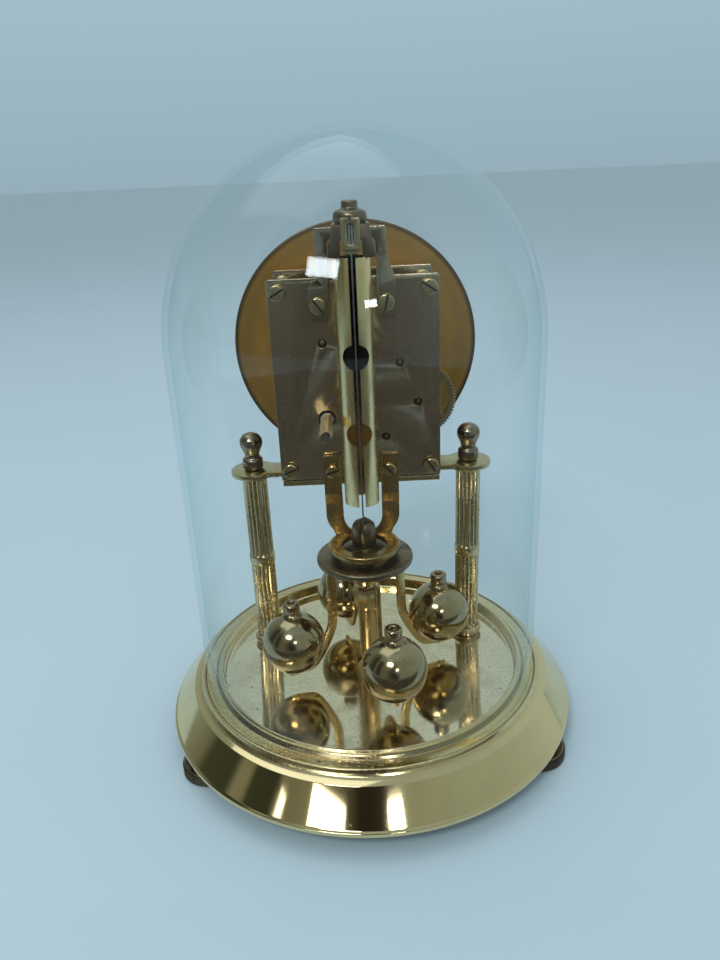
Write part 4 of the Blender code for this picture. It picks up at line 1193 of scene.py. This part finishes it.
def makeArms():
    pivot = axisOf("pendulum")
    first = middle("pendulum_ball_1")
    reach = math.hypot(first.x - pivot.x, first.y - pivot.y)
    path = [(4.9, 64.6), (9.0, 64.6)] + arc(9.4, 61.0, 3.6, 80, 8, 7)
    path += [(13.1, 56.0), (13.2, 50.0), (13.3, 45.0)] + arc(25.6, 45.0, 12.3, 183, 262, 14)
    path += [(reach, 32.4), (reach + 2.4, 32.4)]
    left, right = [], []
    for i, (x, z) in enumerate(path):
        before, after = path[max(i - 1, 0)], path[min(i + 1, len(path) - 1)]
        along = Vector((after[0] - before[0], after[1] - before[1])).normalized()
        # the hook's far end is lowered smoothly, to pass under the ball
        part = min(max((x - armValues["dropStart"]) / armValues["dropLength"], 0.0), 1.0)
        sag = armValues["drop"] * part * part * (3 - 2 * part)
        half = armValues["thick"] / 2
        left.append((x - along.y * half, z + along.x * half - sag))
        right.append((x + along.y * half, z - along.x * half - sag))
    for i in (1, 2, 3, 4):
        spot = middle(f"pendulum_ball_{i}")
        angle = math.atan2(spot.y - pivot.y, spot.x - pivot.x)
        strip = moved(plate(left + right[::-1], armValues["width"], (), 0.18), turn=upright)
        shape = moved(strip, (pivot.x, pivot.y, 0), Matrix.Rotation(angle, 4, "Z"))
        piece(f"pendulumArm{i}", shape, "goldenBrass", "pendulum", [f"pendulum_arm_{i}"])


spindleValues = dict(slotTurn=78)


def makeSpindle():
    at = axisOf("pendulum")
    profile = [(0, 71.5), (1.8, 71.4), (1.8, 65.9), (4.4, 65.9), (4.4, 58.0), (3.3, 57.6), (3.3, 56.2),
               (4.6, 55.5), (4.6, 48.6), (3.4, 48.0), (3.3, 47.0), (3.3, 25.8), (2.9, 25.2),
               (1.2, 24.6), (1.2, 21.0), (0, 20.7)]

    def facets(angle, radius, height):
        # the nut has eight flats
        if 48.4 < height < 56.0 and radius > 4.0:
            step = math.pi / 4
            return radius * math.cos(step / 2) / math.cos((angle % step) - step / 2)
        return radius

    shape = lathe(soften(profile, 0.14, 2), 96, facets)
    piece("pendulumSpindle", moved(shape, (at.x, at.y, 0)), "goldenBrass", "pendulum",
          ["pendulum_spindle"])
    low, high = nodeBox("lower_block")
    top = high.z
    knob = [(0, top), (1.4, top - 0.1), (2.9, top - 0.7), (3.8, top - 1.8), (4.2, top - 3.4),
            (4.2, low.z + 0.8), (3.6, low.z + 0.2), (2.2, low.z), (0, low.z)]
    body = lathe(soften(knob, 0.3, 3), 64)
    slot = box((-6, -0.75, low.z + 1.8), (6, 0.75, top + 1), 0)
    turn = Matrix.Rotation(math.radians(spindleValues["slotTurn"]), 4, "Z")
    spot = (at.x, at.y, 0)
    piece("lowerBlock", moved(cut(body, slot), spot, turn), "darkBrass", "pendulum", ["lower_block"])
    tongue = box((-3.1, -0.6, low.z + 1.9), (3.1, 0.6, top - 0.4), 0.12)
    piece("lowerTongue", moved(tongue, spot, turn), "darkSteel", "pendulum", ())


discValues = dict(marks=48, milled=96, millDepth=0.09)


def makeDisc():
    low, high = nodeBox("rating_disc")
    at = axisOf("pendulum")
    radius = high.x
    profile = soften([(2.2, high.z), (radius - 0.5, high.z), (radius, high.z - 0.5),
                      (radius, low.z + 0.5), (radius - 0.5, low.z), (2.2, low.z)], 0.2, 2, True)

    def milled(angle, used, height):
        if used > radius - 0.1:
            wave = 0.5 + 0.5 * math.cos(discValues["milled"] * angle)
            return used - discValues["millDepth"] * wave
        return used

    body = lathe(profile, discValues["milled"] * 4, milled, closed=True)
    piece("ratingDisc", moved(body, (at.x, at.y, 0)), "darkBrass", "rating", ["rating_disc"])
    mark = box((-0.8, -0.06, -0.03), (0.5, 0.06, 0.03), 0)
    marks = aroundRing(mark, discValues["marks"], radius - 1.9, "black")
    piece("ratingMarks", moved(marks, (at.x, at.y, high.z + 0.01)), "satinBrass", "rating", ())


def makeCup():
    low, high = nodeBox("guide_cup")
    at = middle("guide_cup")
    profile = [(1.7, high.z), (2.8, high.z), (3.1, high.z - 0.4), (4.1, low.z + 1.4), (4.4, low.z + 0.9),
               (4.4, low.z), (1.7, low.z)]
    shape = lathe(soften(profile, 0.15, 2, True), 64, closed=True)
    piece("guideCup", moved(shape, (at.x, at.y, 0)), "goldenBrass", "root", ["guide_cup"])


def paintNodes():
    # CAD nodes whose shape is kept get their finish here
    for node, look in (("upper_block", "steel"), ("fork", "satinBrass"), ("anchor", "steel"),
                       ("mainspring", "bluedSteel"), ("ratchet_wheel", "steel"), ("click", "steel")):
        obj = frame["nodes"][node]
        obj.data.materials.clear()
        obj.data.materials.append(looks[look])


# stage: floor, world, lights, camera

stageValues = dict(floorSize=14.0, floor=(0.43, 0.56, 0.62), floorSecond=(0.46, 0.59, 0.65),
                   back=(0.40, 0.57, 0.665), horizon=(0.30, 0.425, 0.49), soft=(0.62, 0.68, 0.72),
                   ceiling=(0.36, 0.43, 0.46), flag=(0.05, 0.04, 0.03), flagFrom=(-0.7, 0.086),
                   flagTo=(0.7, 1.4), flagHeight=0.003)
# what the polished metal mirrors, once round the clock: 0.5 is +Y, above it is -X
roomStops = [(0.0, (0.46, 0.57, 0.60)), (0.17, (0.24, 0.29, 0.28)), (0.215, (0.15, 0.17, 0.14)),
             (0.23, (0.05, 0.06, 0.045)), (0.275, (0.04, 0.05, 0.04)), (0.285, (0.20, 0.22, 0.18)),
             (0.30, (0.20, 0.21, 0.16)), (0.308, (0.04, 0.05, 0.035)), (0.345, (0.035, 0.04, 0.03)),
             (0.352, (0.16, 0.17, 0.13)), (0.40, (0.20, 0.21, 0.17)), (0.475, (0.02, 0.018, 0.015)),
             (0.52, (0.025, 0.02, 0.018)), (0.545, (0.28, 0.33, 0.30)), (0.72, (0.36, 0.44, 0.43)),
             (0.80, (0.44, 0.54, 0.56)), (1.0, (0.46, 0.57, 0.60))]


def flatSheet(name, low, high, z, color, second):
    shape = bmesh.new()
    bmesh.ops.create_grid(shape, x_segments=8, y_segments=8, size=1.0)
    for vertex in shape.verts:
        part = (vertex.co.xy + Vector((1.0, 1.0))) / 2
        vertex.co = (low[0] + (high[0] - low[0]) * part.x, low[1] + (high[1] - low[1]) * part.y, z)
    sheet = sceneObject(name, bpy.data.meshes.new(name))
    shape.to_mesh(sheet.data)
    shape.free()
    material, start, place = newMaterial(name)
    cloud = place.noise(9.0, 3.0)
    tone = cloud.mixed(rgb(color), rgb(second))
    shader = start.node("ShaderNodeBsdfPrincipled", None, {"Base Color": tone, "Roughness": 0.75})
    finishMaterial(start, shader)
    sheet.data.materials.append(material)
    return sheet


def makeFloor():
    size = stageValues["floorSize"]
    flatSheet("floor", (-size, -size), (size, size), 0.0, stageValues["floor"],
              stageValues["floorSecond"])
    # a dark card on the floor on the +Y side, seen only in the polished metal
    flag = flatSheet("reflectionFlag", stageValues["flagFrom"], stageValues["flagTo"],
                     stageValues["flagHeight"], stageValues["flag"], stageValues["flag"])
    flag.visible_camera = False
    flag.visible_diffuse = False
    flag.visible_shadow = False


def makeWorld():
    world = bpy.data.worlds.new("studio")
    bpy.context.scene.world = world
    world.use_nodes = True
    tree = world.node_tree
    tree.nodes.clear()
    start = Wire(tree, None)
    way = start.node("ShaderNodeTexCoord", None, None, 0)
    x, y, z = (way.node("ShaderNodeSeparateXYZ", None, {0: way}, i) for i in range(3))
    around = start.maths("ARCTAN2", x * -1.0, y) / (2 * math.pi) + 0.5
    room = start.node("ShaderNodeValToRGB", {"stops": roomStops}, {"Fac": around})
    seen = z.above(0.80, 0.10).mixed(room, rgb(stageValues["ceiling"]))
    backdrop = z.above(0.14, 0.16).mixed(rgb(stageValues["horizon"]), rgb(stageValues["back"]))
    # a plain backdrop is seen, an even light falls on matt surfaces, and gloss mirrors the room
    camera = start.node("ShaderNodeLightPath", None, None, 0)
    diffuse = start.node("ShaderNodeLightPath", None, None, 2)
    color = camera.mixed(diffuse.mixed(seen, rgb(stageValues["soft"])), backdrop)
    light = start.node("ShaderNodeBackground", None, {"Color": color, "Strength": 1.0})
    start.node("ShaderNodeOutputWorld", None, {"Surface": light})
    bpy.context.scene.view_settings.view_transform = "Standard"


def areaLight(name, at, aim, size, energy, color):
    light = bpy.data.lights.new(name, "AREA")
    light.shape, light.energy, light.color = "RECTANGLE", energy, color
    light.size, light.size_y = size
    lamp = bpy.data.objects.new(name, light)
    bpy.context.scene.collection.objects.link(lamp)
    lamp.location = Vector(at)
    lamp.rotation_euler = (Vector(aim) - Vector(at)).to_track_quat("-Z", "Y").to_euler()


def towards(start, azimuth, elevation, distance):
    # a place seen from start that way; azimuth 0 is +Y, and above 0 is towards -X
    a, e = math.radians(azimuth), math.radians(elevation)
    way = Vector((-math.sin(a) * math.cos(e), math.cos(a) * math.cos(e), math.sin(e)))
    return Vector(start) + way * distance


# the lights' colour, then the spots that they are aimed at or placed from, in metres
lightValues = dict(color=(0.93, 0.98, 1.0), aim=(0, 0, 0.12), crown=(0.006, 0.054, 0.174),
                   shoulder=(-0.004, 0.058, 0.165), skirt=(0.02, 0.068, 0.015),
                   skirtSide=(0.045, 0.055, 0.015))


def makeLights():
    color, crown, skirt = lightValues["color"], lightValues["crown"], lightValues["skirt"]
    areaLight("overhead", (0.25, -0.35, 1.3), lightValues["aim"], (1.2, 1.0), 3.4, color)
    areaLight("windowLarge", towards(crown, -22, 45, 1.2), crown, (0.36, 0.20), 5.0, color)
    areaLight("windowSmall", towards(lightValues["shoulder"], 10.4, 26.5, 1.2), crown, (0.14, 0.08),
              1.0, color)
    # these two light the base only
    onBase = bpy.data.collections.new("litBase")
    onBase.objects.link(bpy.data.objects["baseShell"])
    for name, at, size, energy in (
        ("skirtWindow", towards(skirt, -26, 28, 1.0), (0.30, 0.22), 0.8),
        ("skirtLamp", towards(lightValues["skirtSide"], -50, 26, 1.0), (0.06, 0.09), 0.05),
    ):
        areaLight(name, at, skirt, size, energy, color)
        bpy.data.objects[name].light_linking.receiver_collection = onBase


# angles in degrees and place in metres, as if looking along +Y; it is then turned to the other side
cameraValues = dict(pitch=22.13, roll=-2.62, yaw=-0.12, at=(0, -0.25015, 0.19614), sensor=36.0,
                    lens=28.908)


def makeCamera():
    pitch, roll, yaw = (math.radians(cameraValues[key]) for key in ("pitch", "roll", "yaw"))
    ahead = Vector((math.sin(yaw) * math.cos(pitch), math.cos(yaw) * math.cos(pitch), -math.sin(pitch)))
    across = Vector((math.cos(yaw), -math.sin(yaw), 0))
    top = across.cross(ahead)
    right = across * math.cos(roll) + top * math.sin(roll)
    above = top * math.cos(roll) - across * math.sin(roll)
    matrix = Matrix((right, above, -ahead)).transposed().to_4x4()
    matrix.translation = Vector(cameraValues["at"])
    camera = bpy.data.objects.new("camera", bpy.data.cameras.new("camera"))
    bpy.context.scene.collection.objects.link(camera)
    camera.data.sensor_width = cameraValues["sensor"]
    camera.data.lens = cameraValues["lens"]
    camera.data.clip_start = 0.01
    camera.matrix_world = Matrix.Rotation(math.pi, 4, "Z") @ matrix
    bpy.context.scene.camera = camera


for stage in (makeBase, makeFeet, makeDome, makeColumns, makePlatform, makePlates, makeScrews,
              makeTrain, makeEscapement, makeBarrel, makeDial, makeHands, makeBracket, makeCap,
              makeSpring, makeTube, makeGuide, makeBalls, makeArms, makeSpindle, makeDisc, makeCup,
              paintNodes, makeFloor, makeWorld, makeLights, makeCamera):
    stage()
    print(stage.__name__, "done")
